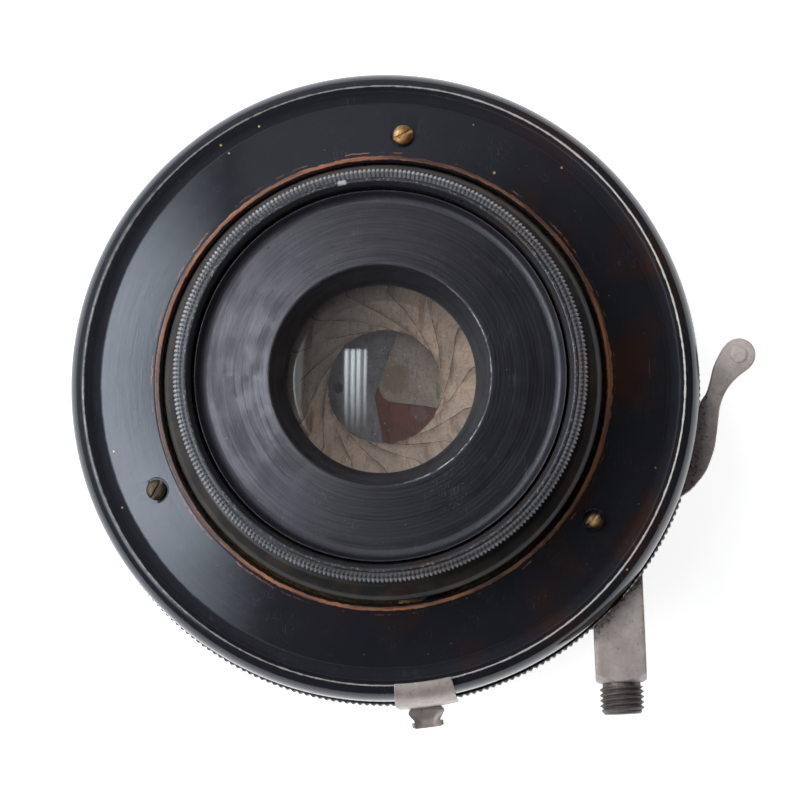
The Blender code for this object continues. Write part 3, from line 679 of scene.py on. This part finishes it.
def iris_steel(name="iris_blade_steel", turned=0, seed=0, rust=0.5, tan=(0.46, 0.36, 0.265), edges=None,
               marks=()):
    """Oxidised steel with rust and dark streaks. edges holds the middle and the radii of a blade's edges; with it
    the blade also gets painted shade and painted highlights along its edges, and a painted shadow on its upper
    left.
    """
    g = Graph(name)
    patch = g.noise(0.35, 4, 0.6, seed)
    g.colour = g.mix(g.step(patch, 0.3, 0.7), tan, shaded(tan, 0.75))
    along = g.stretched(turned, 0.13)
    run = g.noise(0.9, 5, 0.65, seed + 2, 0.12, along)
    g.paint(g.times(g.step(run, 0.53, 0.63), rust), (0.42 * tan[0], 0.29 * tan[1], 0.2 * tan[2]))
    fine = g.noise(2.6, 5, 0.65, seed + 5, 0.12, along)
    g.paint(g.step(fine, 0.56, 0.66), shaded(tan, 0.28), 0.65)
    freckle = g.noise(2.6, 4, 0.75, seed + 7)
    g.paint(g.step(freckle, 0.47, 0.66), shaded(tan, 0.42), 0.6)
    if edges:
        # Painted shadow: the upper left of the iris is darker, and darker still outside 11.4 mm, where the
        # barrel's wall shades it from the light.
        outer = g.most(g.times(g.step(g.r, 11.2, 11.6), 0.65), 0.28)
        outer = g.times(outer, g.within(60, 205, 30))
        g.paint(outer, (0.15, 0.11, 0.095))
    for x, y, radius, paint, share in marks:
        g.paint(g.times(g.spot(x, y, radius, 0.3 * radius), share), paint)
    if edges:
        middle, radii = edges
        away = g.away(*middle)
        ragged = g.times(g.minus(g.noise(1.1, 4, 0.7, seed + 9), 0.42), 0.6)
        # Painted shade: a soft dark band along the blade's edges.
        shade = g.most(*[g.band(away, r, 0.1, 0.7) for r in radii])
        g.paint(g.times(shade, g.step(patch, 0.35, 0.6)), (0.14, 0.085, 0.055), 0.5)
        # Painted shadow: a thin dark line along each edge of the blade.
        edge_shadow = g.most(*[g.band(away, r, g.math("MAXIMUM", ragged, 0.04), 0.05) for r in radii])
        g.paint(edge_shadow, (0.06, 0.035, 0.024), 0.85)
        # Painted highlight: a thin bright line along the edges, where they catch the light.
        bright = g.most(*[g.band(away, r, 0.02, 0.03) for r in radii])
        shown = g.step(g.noise(0.4, 2, 0.5, seed + 11), 0.5, 0.56)
        g.paint(g.times(bright, shown), (0.75, 0.66, 0.55), 0.8)
    g.bump(g.most(run, fine), 0.2, 0.03)
    roughness = g.blend(patch, 0.5, 0.68)
    return g.set(Roughness=roughness, Metallic=0.25)


def glass():
    """Clear glass with a few specks of dust."""
    g = Graph("lens_glass")
    dust = g.math("LESS_THAN", g.cells(0.9), g.times(g.noise(1.1, 2), 0.075))
    tint = g.mix(g.noise(0.12, 2, 0.5), (0.985, 0.98, 0.98), (0.97, 0.965, 0.965))
    return g.set(Base_Color=tint, Roughness=g.times(dust, 0.35), IOR=1.52, Transmission_Weight=1)


# The pieces

def joint_place(name):
    """Where a joint is, in millimetres from the optical axis."""
    return np.array(JOINTS[name]["pos_m"][:2]) / MM - np.array(AXIS)


def node_place(name):
    low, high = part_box(name)
    return np.array((low + high)[:2]) / 2 / MM - np.array(AXIS)


def heights(name):
    low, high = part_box(name)
    return low.z / MM, high.z / MM


def cutter(name, radius, z, at, count=40):
    return slab(name, circle(radius, at, count), z, 0, steps=1)


def make_case():
    crown = oval((42.7, 30.6), (2.3, 3.4), 2, 74, 12)
    profile = rounded([
        (44.55, 21.8, 0.25), (44.75, 24.5, 1), (45, 28.4, 1), *crown, (42.95, 34.02, 0.1),
        (42.68, 33.9, 0.12), (41.25, 33.12, 0.9), (32.62, 36.3, 0.2), (32.45, 36.4, 0.08),
        (31.86, 36.42, 0.08), (31.5, 36.08, 0.06), (31.42, 34.95, 0.1), (32, 34.9), (41.1, 31.6, 0.5),
        (43.2, 29.6, 0.5), (43.2, 21.8, 0.1)
    ])

    def dented(radius, z, angle):
        wave = 0.012 * np.sin(3 * angle + 1) + 0.01 * np.sin(7 * angle + 2) + 0.006 * np.sin(13 * angle)
        return radius + wave * (z > 22), z

    case = revolve("case_shell", profile, 320, dented)
    cutters = []
    for i in range(3):
        at = node_place(f"back_screw_{i + 1}")
        cutters.append(cutter("spot_face", 1.85, (34.9, 37.5), at))
        cutters.append(cutter("screw_hole", 1, (31, 36), at, 24))
    slot_r = [(41.5, 24.2), (47, 24.2), (47, 26.6), (41.5, 26.6)]
    cutters.append(revolve("pointer_slot", slot_r, 30, None, 242.1, 60.5))
    notch = [(41.5, 21), (47, 21), (47, 24), (41.5, 24)]
    cutters.append(revolve("lever_notch", notch, 24, None, -27, 37))
    boolean(case, "DIFFERENCE", cutters, 40)
    return finish(case, "case", "shutter_case")


def make_screw(i):
    name = f"back_screw_{i + 1}"
    at, top = node_place(name), heights(name)[1]
    half = rounded([(0, top - 9), (0.75, top - 9), (0.75, top - 1.25), (1.46, top - 1.25, 0.1),
                    (1.46, top - 0.4, 0.22), (0.9, top - 0.08, 0.3), (0, top)])
    screw = revolve(f"back_screw_head_{i + 1}", half, 48)
    screw.data.transform(shifted(*at))
    slot = np.array([(-2, -0.25), (2, -0.25), (2, 0.25), (-2, 0.25)])
    bar = slab("slot", turn(slot, (25, 62, 48)[i]) + at, (top - 0.5, top + 1), 0, steps=1)
    boolean(screw, "DIFFERENCE", [bar], 30)
    return finish(screw, name, name)


def rise(value, start, width):
    """0 up to start, and 1 from start + width."""
    return np.clip((value - start) / width, 0, 1)


def knurled(teeth, depth, weight):
    """A shape function that cuts teeth where weight(radius, z) is above 0."""
    def shape(radius, z, angle):
        phase = (angle / (2 * pi) * teeth) % 1
        cut = np.abs(2 * phase - 1) ** 1.3
        return radius - depth * cut * weight(radius, z), z
    return shape


def make_glass(name, profile):
    """A lens element, which lets the light through to the pieces behind it."""
    lens = revolve(name + "_element", rounded(profile), 128)
    lens.visible_shadow = False
    finish(lens, "glass", name)


def make_rear_cell():
    top = heights("rear_cell_barrel")[1]
    bead = oval((28.2, top - 1.15), (0.85, 1.1), -35, 96, 14)
    profile = rounded([
        (14.3, 34.8), (27.5, 34.8), (27.5, 39.3), (28.35, 39.35, 0.2), (28.35, 46.3, 0.3), *bead,
        (27.72, top - 0.12, 0.08), (27.55, top - 0.02, 0.08), (27.15, top - 0.02, 0.12),
        (26.55, top - 0.7, 0.3), (26.3, top - 2.6, 0.3), (25.85, 45, 0.2), (25.85, 38.6), (14.3, 38.6)
    ], 3)

    def weight(radius, z):
        return rise(z, top - 2.2, 0.35) * rise(radius, 28, 0.25)

    barrel = revolve("rear_barrel", profile, TEETH_REAR * 6, knurled(TEETH_REAR, 0.26, weight), sharp=50)
    finish(barrel, "barrel", "rear_cell_barrel")

    rng = np.random.default_rng(7)
    slope = np.linspace(24.4, 16, 90)
    ridge = 45.75 + (25 - slope) * 0.243
    ridge += 0.004 * np.sin(slope * 11) + 0.004 * rng.standard_normal(len(slope))
    face = list(zip(slope, ridge))
    profile = rounded([
        (14.3, 39), (25.7, 39), (25.72, 45.3), (26.05, 47.2, 0.05), (25.9, 47.2, 0.08), (25.3, 46, 0.8),
        *face, (15.62, 48, 0.12), (15.38, 47.85, 0.08), (14.7, 45.6), (13.35, 42.2, 0.4),
        (13.25, 41.45, 0.1), (14.3, 41.45)
    ])
    cap = revolve("rear_lens_mount", profile, 360, sharp=40)
    finish(cap, "cap", "rear_lens_cap")

    profile = rounded([
        (28, 34.95), (31, 34.95, 0.1), (31.05, 37.1, 0.25), (30.4, 37.9, 0.2), (29.2, 38.75, 0.3),
        (28, 38.85)
    ])
    finish(revolve("flange_ring", profile, 256), "flange", "rear_flange_ring")

    make_glass("rear_outer_glass", [
        (0, 39.7), (7, 39.62), (13, 39.36), (13.8, 39.5, 0.1), (13.8, 40.9, 0.1),
        *[(13.2 * t, 41.05 + 1.12 * (1 - t * t)) for t in np.linspace(1, 0, 14)]
    ])
    make_glass("rear_inner_glass", [
        (0, 36.6), (7, 36.4), (13.2, 36), (13.8, 36.1, 0.1), (13.8, 38, 0.1),
        *[(13.2 * t, 37.5 + 0.6 * t * t) for t in np.linspace(1, 0, 12)]
    ])
    ring = [(13.3, 34.95, 0.1), (13.95, 34.95), (13.95, 35.45), (13.35, 35.5, 0.1)]
    finish(revolve("rear_inner_ring", rounded(ring), 128), "plain_black", "rear_retaining_ring")


def make_front_cell():
    knurl_top = 5.2
    profile = rounded([
        (14.7, 21.9), (14.7, 12.4), (20.45, 12.4, 0.1), (20.45, 2.7, 0.2), (22.4, 1.4, 0.4),
        (24.1, 0.1, 0.15), (24.5, 0), (25.4, 0), (25.9, 0.12, 0.15), (26.2, 0.6, 0.2), (26.2, 1.4),
        (26.2, 3), (26.2, 4.4), (26.2, knurl_top, 0.2), (25.8, 5.7, 0.2), (24.45, 6.1, 0.2), (24.45, 10.5),
        (24.3, 10.7), (24.3, 11.1), (24.45, 11.3), (24.45, 15.6, 0.2), (25.4, 16.4, 0.2), (25.4, 18.35, 0.1),
        (16.8, 18.35), (16.8, 21.9)
    ])

    def weight(radius, z):
        return rise(z, 0.5, 0.3) * rise(-z, -5.3, 0.3) * rise(radius, 25.9, 0.2)

    barrel = revolve("front_barrel", profile, 160 * 6, knurled(160, 0.3, weight), sharp=50)
    finish(barrel, "front_barrel", "front_cell_barrel")
    profile = rounded([
        (17.8, 3.2, 0.15), (18.1, 3, 0.1), (20.1, 3, 0.1), (20.1, 4.9), (19, 4.95, 0.1), (18, 3.9, 0.2)
    ])
    ring = revolve("front_ring", profile, 256)
    notch = [(-0.7, 17), (0.7, 17), (0.7, 20.6), (-0.7, 20.6)]
    notches = [slab("notch", turn(notch, angle), (2.5, 3.5), 0, steps=1) for angle in (20, 200)]
    finish(boolean(ring, "DIFFERENCE", notches), "front_barrel", "front_retaining_ring")
    make_glass("front_outer_glass", [
        *[(20 * t, 4.75 + 1.35 * t * t) for t in np.linspace(0, 1, 16)], (20.1, 6.3, 0.05),
        (20.1, 9.4, 0.1), (13, 10.9, 0.5), (0, 11.45)
    ])
    make_glass("front_inner_glass", [
        (0, 14.4), (7, 14.1), (13.7, 13.3), (14.2, 13.5, 0.1), (14.2, 17, 0.1),
        *[(13.8 * t, 16.4 + 0.65 * t * t) for t in np.linspace(1, 0, 12)]
    ])


def make_speed_ring():
    profile = rounded([
        (36.1, 17.55, 0.15), (44.4, 17.5, 0.3), (45, 17.75, 0.2), (45.42, 18.3, 0.2), (45.42, 19.2),
        (45.42, 20.6), (45.42, 21.1, 0.1), (45.1, 21.45, 0.1), (43.75, 21.45, 0.1), (43.75, 18.45),
        (36.1, 18.45, 0.1)
    ])

    def weight(radius, z):
        return rise(z, 17.9, 0.3) * rise(-z, -21.45, 0.25) * rise(radius, 45, 0.2)

    shape = knurled(TEETH_FRONT, 0.3, weight)
    ring = revolve("speed_ring_knurled", profile, TEETH_FRONT * 6, shape, sharp=50)
    finish(ring, "knurl", "speed_ring")


def make_front_plate():
    holes = [circle(17.1, (0, 0), 96), circle(1.5, joint_place("cocking_lever_turn"), 24)]
    for name in ("retard_wheel_turn", "star_wheel_turn", "pallet_rock", "release_lever_turn"):
        holes.append(circle(0.85, joint_place(name), 20))
    for i in range(3):
        holes.append(circle(0.75, node_place(f"front_screw_{i + 1}"), 20))
    plate = slab("front_face_plate", circle(43.15, (0, 0), 256), heights("front_plate"), 0.08, holes)
    finish(plate, "plain_black", "front_plate")


LEVER_LEFT = (
    (32.4, -15.2), (36.6, -14.2), (40.2, -12.6), (43.2, -9.6), (44.6, -4.8), (45.25, -1.9), (46.15, -0.4),
    (46.7, 1.4), (47.15, 3.2), (47.8, 4.7), (48.6, 6.15)
)
LEVER_RIGHT = (
    (32.6, -18.2), (38.4, -18.9), (42.6, -15.4), (43.7, -14.6), (44.8, -13.5), (46, -11.9), (46.8, -10.1),
    (47.4, -8.1), (47.65, -6.4), (47.9, -4.4), (48.1, -2.75), (48.5, -1.4), (49, -0.25), (49.8, 0.9),
    (51, 2.1), (52.4, 3.1)
)


def make_lever():
    end = (50.9, 5.1)
    left, right = smooth_line(LEVER_LEFT, 5), smooth_line(LEVER_RIGHT, 5)
    first = degrees(atan2(right[-1][1] - end[1], right[-1][0] - end[0]))
    last = degrees(atan2(left[-1][1] - end[1], left[-1][0] - end[0]))
    cap = arc(2.42, first + 8, last - 8, 24, end)
    root = arc(1.55, 110, 250, 8, (32.6, -16.7))
    outline = np.concatenate([right, cap, left[::-1], root[1:-1]])
    low, high = 22.4, 23.6
    lever = slab("s_lever", outline, (low, high), 0.28, steps=4, sharp=50)
    finish(lever, "lever", "release_lever")
    profile = rounded([(0, 23.5), (1.22, 23.5), (1.22, 23.78, 0.06), (0.9, 23.86, 0.1), (0, 23.9)])
    rivet = revolve("lever_rivet", profile, 64)
    rivet.data.transform(shifted(*end))
    finish(rivet, "lever", "release_lever_rivet")


def block_frame():
    """The release block's middle line: foot, direction into the case, and height."""
    joint = JOINTS["release_plunger_slide"]
    along = np.array(joint["axis"][:2])
    end = np.array(joint["pos_m"]) / MM
    foot = end[:2] - np.array(AXIS) + along * 4.5
    return foot, along, end[2]


def lay(made, at, along, z):
    """Moves a piece that was turned about +Z at the optical axis so that it lies along this direction."""
    turned_over = Matrix.Rotation(atan2(along[1], along[0]), 4, "Z") @ Matrix.Rotation(radians(90), 4, "Y")
    goal = Matrix.Translation(((at[0] + AXIS[0]) * MM, (at[1] + AXIS[1]) * MM, z * MM))
    made.data.transform(goal @ turned_over @ Matrix.Translation((-AXIS[0] * MM, -AXIS[1] * MM, 0)))
    return made


def make_block():
    foot, along, z = block_frame()
    low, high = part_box("release_block")
    across = np.array([along[1], -along[0]])
    half, length = 3.65, 17
    corners = [foot - across * half, foot + across * half, foot + across * half + along * length,
               foot - across * half + along * length]
    block = slab("block", rounded([(*c, 0.22) for c in corners]), heights("release_block"), 0.2, steps=3)
    thick = (high.z - low.z) / 2 / MM
    cone = rounded([(0, -0.02), (thick - 0.25, -0.02, 0.1), (thick + 2.2, 1.75, 0.5), (thick + 2.8, 3.2),
                    (thick + 2.8, 30), (0, 30)])
    turned_end = lay(revolve("turned_end", cone, 96), foot, along, z)
    boolean(block, "INTERSECT", [turned_end], 28)
    drum = revolve("drum", [(30, 15), (45.4, 15), (45.4, 40), (30, 40)], 192, None, -70, 60)
    bore = lay(revolve("bore", [(0, -2), (1.2, -2), (1.2, 20), (0, 20)], 40), foot, along, z)
    boolean(block, "DIFFERENCE", [drum, bore], 28)
    finish(block, "nickel", "release_block")

    pitch, crest, root = 0.76, 3.17, 2.72
    rows = []
    around = 72
    height = np.linspace(0, 4.45, 75)
    for h in height:
        angles = 2 * pi * np.arange(around) / around
        phase = (h / pitch - angles / (2 * pi)) % 1
        tooth = 1 - np.abs(2 * phase - 1)
        tooth = np.clip(tooth * 1.35 - 0.12, 0, 1)
        radius = root + (crest - root) * tooth
        limit = crest if h < 3.7 else crest - (h - 3.7) * 0.75
        radius = np.minimum(radius, limit)
        if h < 0.55:
            radius = np.minimum(radius, root + 0.02)
        rows.append(np.stack([radius * np.cos(angles), radius * np.sin(angles), np.full(around, h)], 1))
    inner = [np.stack([1.2 * np.cos(angles), 1.2 * np.sin(angles), np.full(around, h)], 1) for h in (4.45, 0)]
    dish = np.stack([2.35 * np.cos(angles), 2.35 * np.sin(angles), np.full(around, 4.5)], 1)
    rows = [*rows, dish, *inner]
    faces = grid_faces(len(rows), around, True, True)
    stub = make_object("threaded_stub", np.concatenate(rows), faces, 40)
    lay(stub, foot - along * 0.02, -along, z)
    finish(stub, "thread", "release_nipple")


def make_pointer():
    """A sprung clip over the rim, and the finger tab with its rolled sides."""
    angle = 277.5
    outer = [(45.95, 19.4), (45.95, 29), *oval((42.7, 30.6), (3.25, 4.3), 4, 90, 16)]
    inner = [(45.5, 19.4), (45.5, 29), *oval((42.7, 30.6), (2.8, 3.85), 4, 90, 16)]
    section = np.array(outer + inner[::-1])
    clip = revolve("pointer_clip", section, 14, None, angle - 5.5, 11, 60)
    bevelled(clip, 0.12, 2, 60)

    low = 20.1
    rows = []
    stations = smooth_line([
        (45.75, 2.1, 0, 0), (46.1, 2.4, 0.05, 0), (46.55, 2.62, 0.12, 0.15), (47.1, 2.35, 0, 0.3),
        (47.7, 1.92, -0.15, 0.5), (48.3, 1.85, -0.1, 0.7), (48.85, 1.9, 0.05, 0.75)
    ], 4)
    for radius, half, lift, curl in stations:
        across = np.linspace(-1, 1, 17)
        side = across * half
        height = low + lift + curl * np.clip(np.abs(across) - 0.45, 0, 1) ** 1.5 * 2.2
        rows.append(np.stack([np.full(17, radius), side, height], 1))
    top = np.concatenate(rows)
    bottom = top.copy()
    bottom[:, 2] -= 0.42
    count = len(stations)
    faces = grid_faces(count, 17, False, False)
    under = [tuple(v + count * 17 for v in reversed(f)) for f in faces]
    rim = [k for k in range(16)] + [i * 17 + 16 for i in range(count - 1)] + \
          [(count - 1) * 17 + k for k in range(16, 0, -1)] + [i * 17 for i in range(count - 1, 0, -1)]
    walls = [(rim[i], rim[(i + 1) % len(rim)], rim[(i + 1) % len(rim)] + count * 17, rim[i] + count * 17)
             for i in range(len(rim))]
    points = np.concatenate([top, bottom])
    points[:, :2] = turn(points[:, :2], angle - 0.5)
    tab = make_object("pointer_tab", points, faces + under + walls, 50)
    with edited(tab) as shape:
        bmesh.ops.recalc_face_normals(shape, faces=shape.faces)
    ears = []
    for side in (-1.98, 1.98):
        ear = revolve("ear", [(0.13, 0), (0.3, 0), (0.3, 0.75), (0.13, 0.75)], 20)
        ears.append(lay(ear, turn((47.95, side), angle - 0.5), polar(1, angle - 0.5), low + 0.1))
    joined(clip, tab, *ears)
    finish(clip, "nickel_clip", "aperture_pointer")


# An iris blade: where its pins are, half its width, its inner radius and the middle of its curve
PIN = polar(17, 72)
BLADE_HALF, BLADE_INNER = 2.25, 27
BLADE_MIDDLE = PIN[0] - sqrt((BLADE_INNER + BLADE_HALF) ** 2 - PIN[1] ** 2)


def tilted(angle):
    """The plane of the iris blade whose middle is at this angle, as the CAD sets it."""
    lead, tilt = radians(18), atan(0.09)
    return (Matrix.Rotation(radians(angle) + lead, 4, "Z") @ Matrix.Rotation(tilt, 4, "X")
            @ Matrix.Rotation(-lead, 4, "Z"))


def make_iris():
    pin, half, inner_r, centre_x = PIN, BLADE_HALF, BLADE_INNER, BLADE_MIDDLE
    reach = degrees(asin(pin[1] / (inner_r + half)))
    outer = arc(inner_r + 2 * half, -reach, reach, 40, (centre_x, 0))
    inner = arc(inner_r, reach, -reach, 40, (centre_x, 0))
    ends = []
    for centre, start in ((np.array(pin), reach), (np.array((pin[0], -pin[1])), 180 - reach)):
        round_end = arc(half, start, start + 180, 14, centre)
        out = polar(1, start + 90)
        ends.append(round_end - np.outer((round_end - centre) @ out * 0.22, out))
    outline = np.concatenate([outer, ends[0][1:-1], inner, ends[1][1:-1]])
    for k in range(15):
        name = f"iris_blade_{k + 1:02d}"
        blade = slab(name + "_leaf", outline, (-0.03, 0.03), 0.012, steps=1)
        pins = [slab("pin", circle(r, at, 16), z, 0.03, steps=1)
                for r, at, z in ((0.4, (pin[0], -pin[1]), (-1.15, -0.02)), (0.36, pin, (0.02, 1.8)))]
        joined(blade, *pins)
        blade.data.transform(shifted(*AXIS, 30.3) @ tilted(24 * k) @ shifted(*-AXIS))
        finish(blade, name, name)


def make_shutter():
    pivot, pin_r, ratio = 20, 16.6, 4.3
    pin = polar(pin_r, 6.8)
    corners = np.concatenate([
        circle(2.2, (0.82, -1.01), 40), circle(2.2, (pivot, 0), 32), circle(1.6, pin, 24),
        [polar(8.5, -81), polar(11.4, -73)], arc(14.8, -65, -2, 30)
    ])
    outline = corners[convex_hull_2d([Vector(p) for p in corners])]
    path = []
    for i in range(13):
        ring = -13.6 * i / 12
        x, y = polar(pin_r, 6.8 + ring)
        path.append(circle(0.75, turn((x - pivot, y), ring * ratio) + np.array([pivot, 0]), 24))
    path = np.concatenate(path)
    slot = path[convex_hull_2d([Vector(p) for p in path])]
    for i in range(5):
        name = f"shutter_blade_{i + 1}"
        angle = 62 - 72 * i
        holes = [turn(circle(0.9, (pivot, 0), 24), angle), turn(slot, angle)]
        leaf = slab(name + "_leaf", turn(outline, angle), heights(name), 0.04, holes, steps=2)
        finish(leaf, name, name)


def soften(name, width, look):
    """The CAD's shape with its edges rounded off, for the small pieces on the front and in the slots."""
    source = frame["nodes"][name]
    made = add_object(name + "_softened", source.data.copy())
    made.data.transform(source.matrix_world)
    merge(made, 1e-6)
    bevelled(made, width, 3, 50)
    smooth_shading(made, 35)
    finish(made, look, name)


def dress_hidden():
    """CAD nodes that only show through gaps or when taken apart keep their shape and get a finish."""
    shown = {
        "black_enamel": "plain_black", "brass": "old_brass", "aged_nickel": "nickel", "blade_steel": "spring",
        "glass": "glass"
    }
    for name, node in frame["nodes"].items():
        if not node.hide_render:
            node.data.materials.clear()
            node.data.materials.append(LOOK[shown[SLOT_OF[name]]])


def sheet(name, corners):
    """A flat face that is part of the stage."""
    mesh = bpy.data.meshes.new(name)
    mesh.from_pydata([(*corner, 0) for corner in corners], [], [(0, 1, 2, 3)])
    return add_object(name, mesh)


def card(name, direction, distance, middle, half, soft, radiance, colour, stripes=0.3, mirrored=True,
         bottom=1):
    """A glowing card with soft edges that faces the lens. Its sizes are along the world's Y, then across."""
    toward = Vector(direction).normalized()
    along = (Vector((0, 1, 0)) - toward * toward.y).normalized()
    across = along.cross(toward)
    (u, v), (a, b) = middle, half
    made = sheet(name, [(u - a, v - b), (u + a, v - b), (u + a, v + b), (u - a, v + b)])
    at = Vector((AXIS[0] * MM, AXIS[1] * MM, 0.03)) + toward * distance
    made.matrix_world = Matrix.Translation(at) @ Matrix((along, across, toward)).transposed().to_4x4()
    made.visible_camera = False
    made.visible_glossy = mirrored
    made.visible_transmission = False
    glow = Graph(name + "_glow")
    local = glow.node("SeparateXYZ", {0: glow.node("TexCoord", {}, "Object")}, slice(3))
    level = radiance
    for axis, centre, reach, fade in ((0, u, a, soft[0]), (1, v, b, soft[1])):
        away = glow.math("ABSOLUTE", glow.minus(local[axis], centre))
        level = glow.times(glow.step(away, reach - fade, reach, 1, 0), level)
    level = glow.times(level, glow.step(local[0], u - a, u + 0.8 * a, bottom, 1))
    uneven = glow.times(glow.noise(0.05, 3, 0.6, at=glow.vector(0, glow.y, 0)), 9)
    folds = glow.math("SINE", glow.plus(glow.times(glow.y, 0.28), uneven))
    level = glow.times(level, glow.step(folds, -1, 1, 1 - stripes, 1 + stripes))
    light = glow.node("Emission", {"Color": colour, "Strength": level})
    put(glow.tree, glow.tree.nodes["Material Output"].inputs["Surface"], light)
    glow.tree.nodes.remove(glow.shader)
    made.data.materials.append(glow.material)


def lighting():
    """A pale floor, a tall soft window to the left, a soft overhead light and a dim room."""
    side = 3
    floor = sheet("floor", [(-side, -side), (side, -side), (side, side), (-side, side)])
    floor.location.z = cad_low.z - 0.0002
    white = Graph("pale_floor")
    white.set(Base_Color=(0.9, 0.9, 0.9), Roughness=0.9, Emission_Color=(1, 1, 1), Emission_Strength=0.85)
    floor.data.materials.append(white.material)

    world = bpy.data.worlds.new("room")
    bpy.context.scene.world = world
    world.use_nodes = True
    tree = world.node_tree
    toward_light = Vector((-0.66, 0.68, 0.3)).normalized()
    way = add_node(tree, "TexCoord", {}, "Generated")
    facing = add_node(tree, "VectorMath", {0: way, 1: toward_light}, "Value", operation="DOT_PRODUCT")
    level = add_node(tree, "MapRange", {
        "Value": facing, "From Min": 0.2, "From Max": 0.9, "To Min": 0.06, "To Max": 0.62
    }, interpolation_type="SMOOTHSTEP")
    room = tree.nodes["Background"].inputs
    put(tree, room["Color"], (0.93, 0.95, 1))
    put(tree, room["Strength"], level)

    card("window", (-0.62, 0.05, 0.78), 0.6, (-0.01, 0.03), (0.45, 0.19), (0.34, 0.11), 8, (0.92, 0.96, 1))
    card("overhead", (-0.34, 0.38, 0.86), 0.8, (0, 0), (0.2, 0.2), (0.1, 0.1), 15, (1, 0.975, 0.95),
         mirrored=False)
    card(
        "far_window", (-0.142, 0.11, 1), 0.9, (-0.067, 0), (0.165, 0.05), (0.015, 0.02), 8,
        (0.86, 0.94, 1), 0.6, True, 0
    )


def camera():
    """A long lens from above, 5.5 degrees off the optical axis."""
    toward = Vector((0.033, -0.0905, 0.995)).normalized()
    distance, pixels = 0.7, 800
    scale = 6.976
    level = Vector((AXIS[0], AXIS[1], 29.1)) * MM
    right = Vector((0, 1, 0)).cross(toward).normalized()
    up = toward.cross(right)
    shift = Vector((384.95 - pixels / 2, pixels / 2 - 387.25)) / scale * MM
    aim = level - right * shift.x - up * shift.y
    lens = bpy.data.cameras.new("camera")
    lens.sensor_width = 36
    lens.lens = 36 * scale * distance / MM / pixels
    lens.clip_start, lens.clip_end = 0.01, 10
    made = add_object("camera", lens)
    made.matrix_world = Matrix.Translation(aim + toward * distance) @ Matrix(
        (right, up, toward)).transposed().to_4x4()
    bpy.context.scene.camera = made


LOOK = make_materials()
LOOK["back_screw_1"] = brass("brown_screw_brass", (0.6, 0.33, 0.13), 0.3)
LOOK["back_screw_2"] = brass("dirty_screw_brass", (0.13, 0.1, 0.07), 0.42)
LOOK["back_screw_3"] = brass(
    "rubbed_screw_brass", (1, 0.66, 0.29), 0.3, node_place("back_screw_3") + (0.25, -0.1)
)
LOOK["nickel_clip"] = nickel("aged_nickel_clip", 0, 0.7, 0.66)
BLADE_EDGES = (BLADE_INNER, BLADE_INNER + 2 * BLADE_HALF)
for number in range(15):
    LOOK[f"iris_blade_{number + 1:02d}"] = iris_steel(
        f"iris_steel_{number:02d}", -24 * number, 3.7 * number, 0.5 + 0.35 * ((number * 7) % 5) / 4,
        shaded((0.67, 0.5, 0.375), 0.88 + 0.04 * ((number * 11) % 6)),
        (tuple(turn((BLADE_MIDDLE, 0), 24 * number)), BLADE_EDGES))
LOOK["shutter_blade_1"] = iris_steel(
    "shutter_tan", 28, 1, 0.3, (0.46, 0.375, 0.31),
    marks=((1.4, 1.5, 2.1, (0.23, 0.155, 0.1), 0.75), (1.3, 8.2, 0.4, (0.6, 0.38, 0.2), 0.8)))
LOOK["shutter_blade_2"] = iris_steel(
    "shutter_rust", 100, 5, 0.6, (0.2, 0.062, 0.036),
    marks=((4.8, -3.4, 1.2, (0.2, 0.17, 0.18), 0.35), (2.3, -3.6, 1.7, (0.32, 0.09, 0.04), 0.25)))
LOOK["shutter_blade_3"] = iris_steel("shutter_grey_3", 170, 9, 0.3, (0.29, 0.275, 0.285))
LOOK["shutter_blade_4"] = iris_steel(
    "shutter_grey_4", 240, 13, 0.2, (0.31, 0.295, 0.315), marks=((-6.9, 0.3, 0.75, (0.01, 0.01, 0.012), 1),)
)
LOOK["shutter_blade_5"] = iris_steel("shutter_grey_5", 310, 17, 0.2, (0.31, 0.295, 0.315))
LOOK["spring"] = iris_steel("spring_steel", 0, 2, 0.2, (0.25, 0.23, 0.2))

make_case()
for number in range(3):
    make_screw(number)
make_rear_cell()
make_front_cell()
make_speed_ring()
make_front_plate()
make_lever()
make_block()
make_pointer()
make_iris()
make_shutter()
soften("cocking_lever", 0.18, "nickel")
soften("iris_control_arm", 0.12, "old_brass")
for small in ("cocking_shaft_screw", "front_screw_1", "front_screw_2", "front_screw_3"):
    soften(small, 0.08, "old_brass")
dress_hidden()
lighting()
camera()
bpy.context.scene.view_settings.view_transform = "Standard"
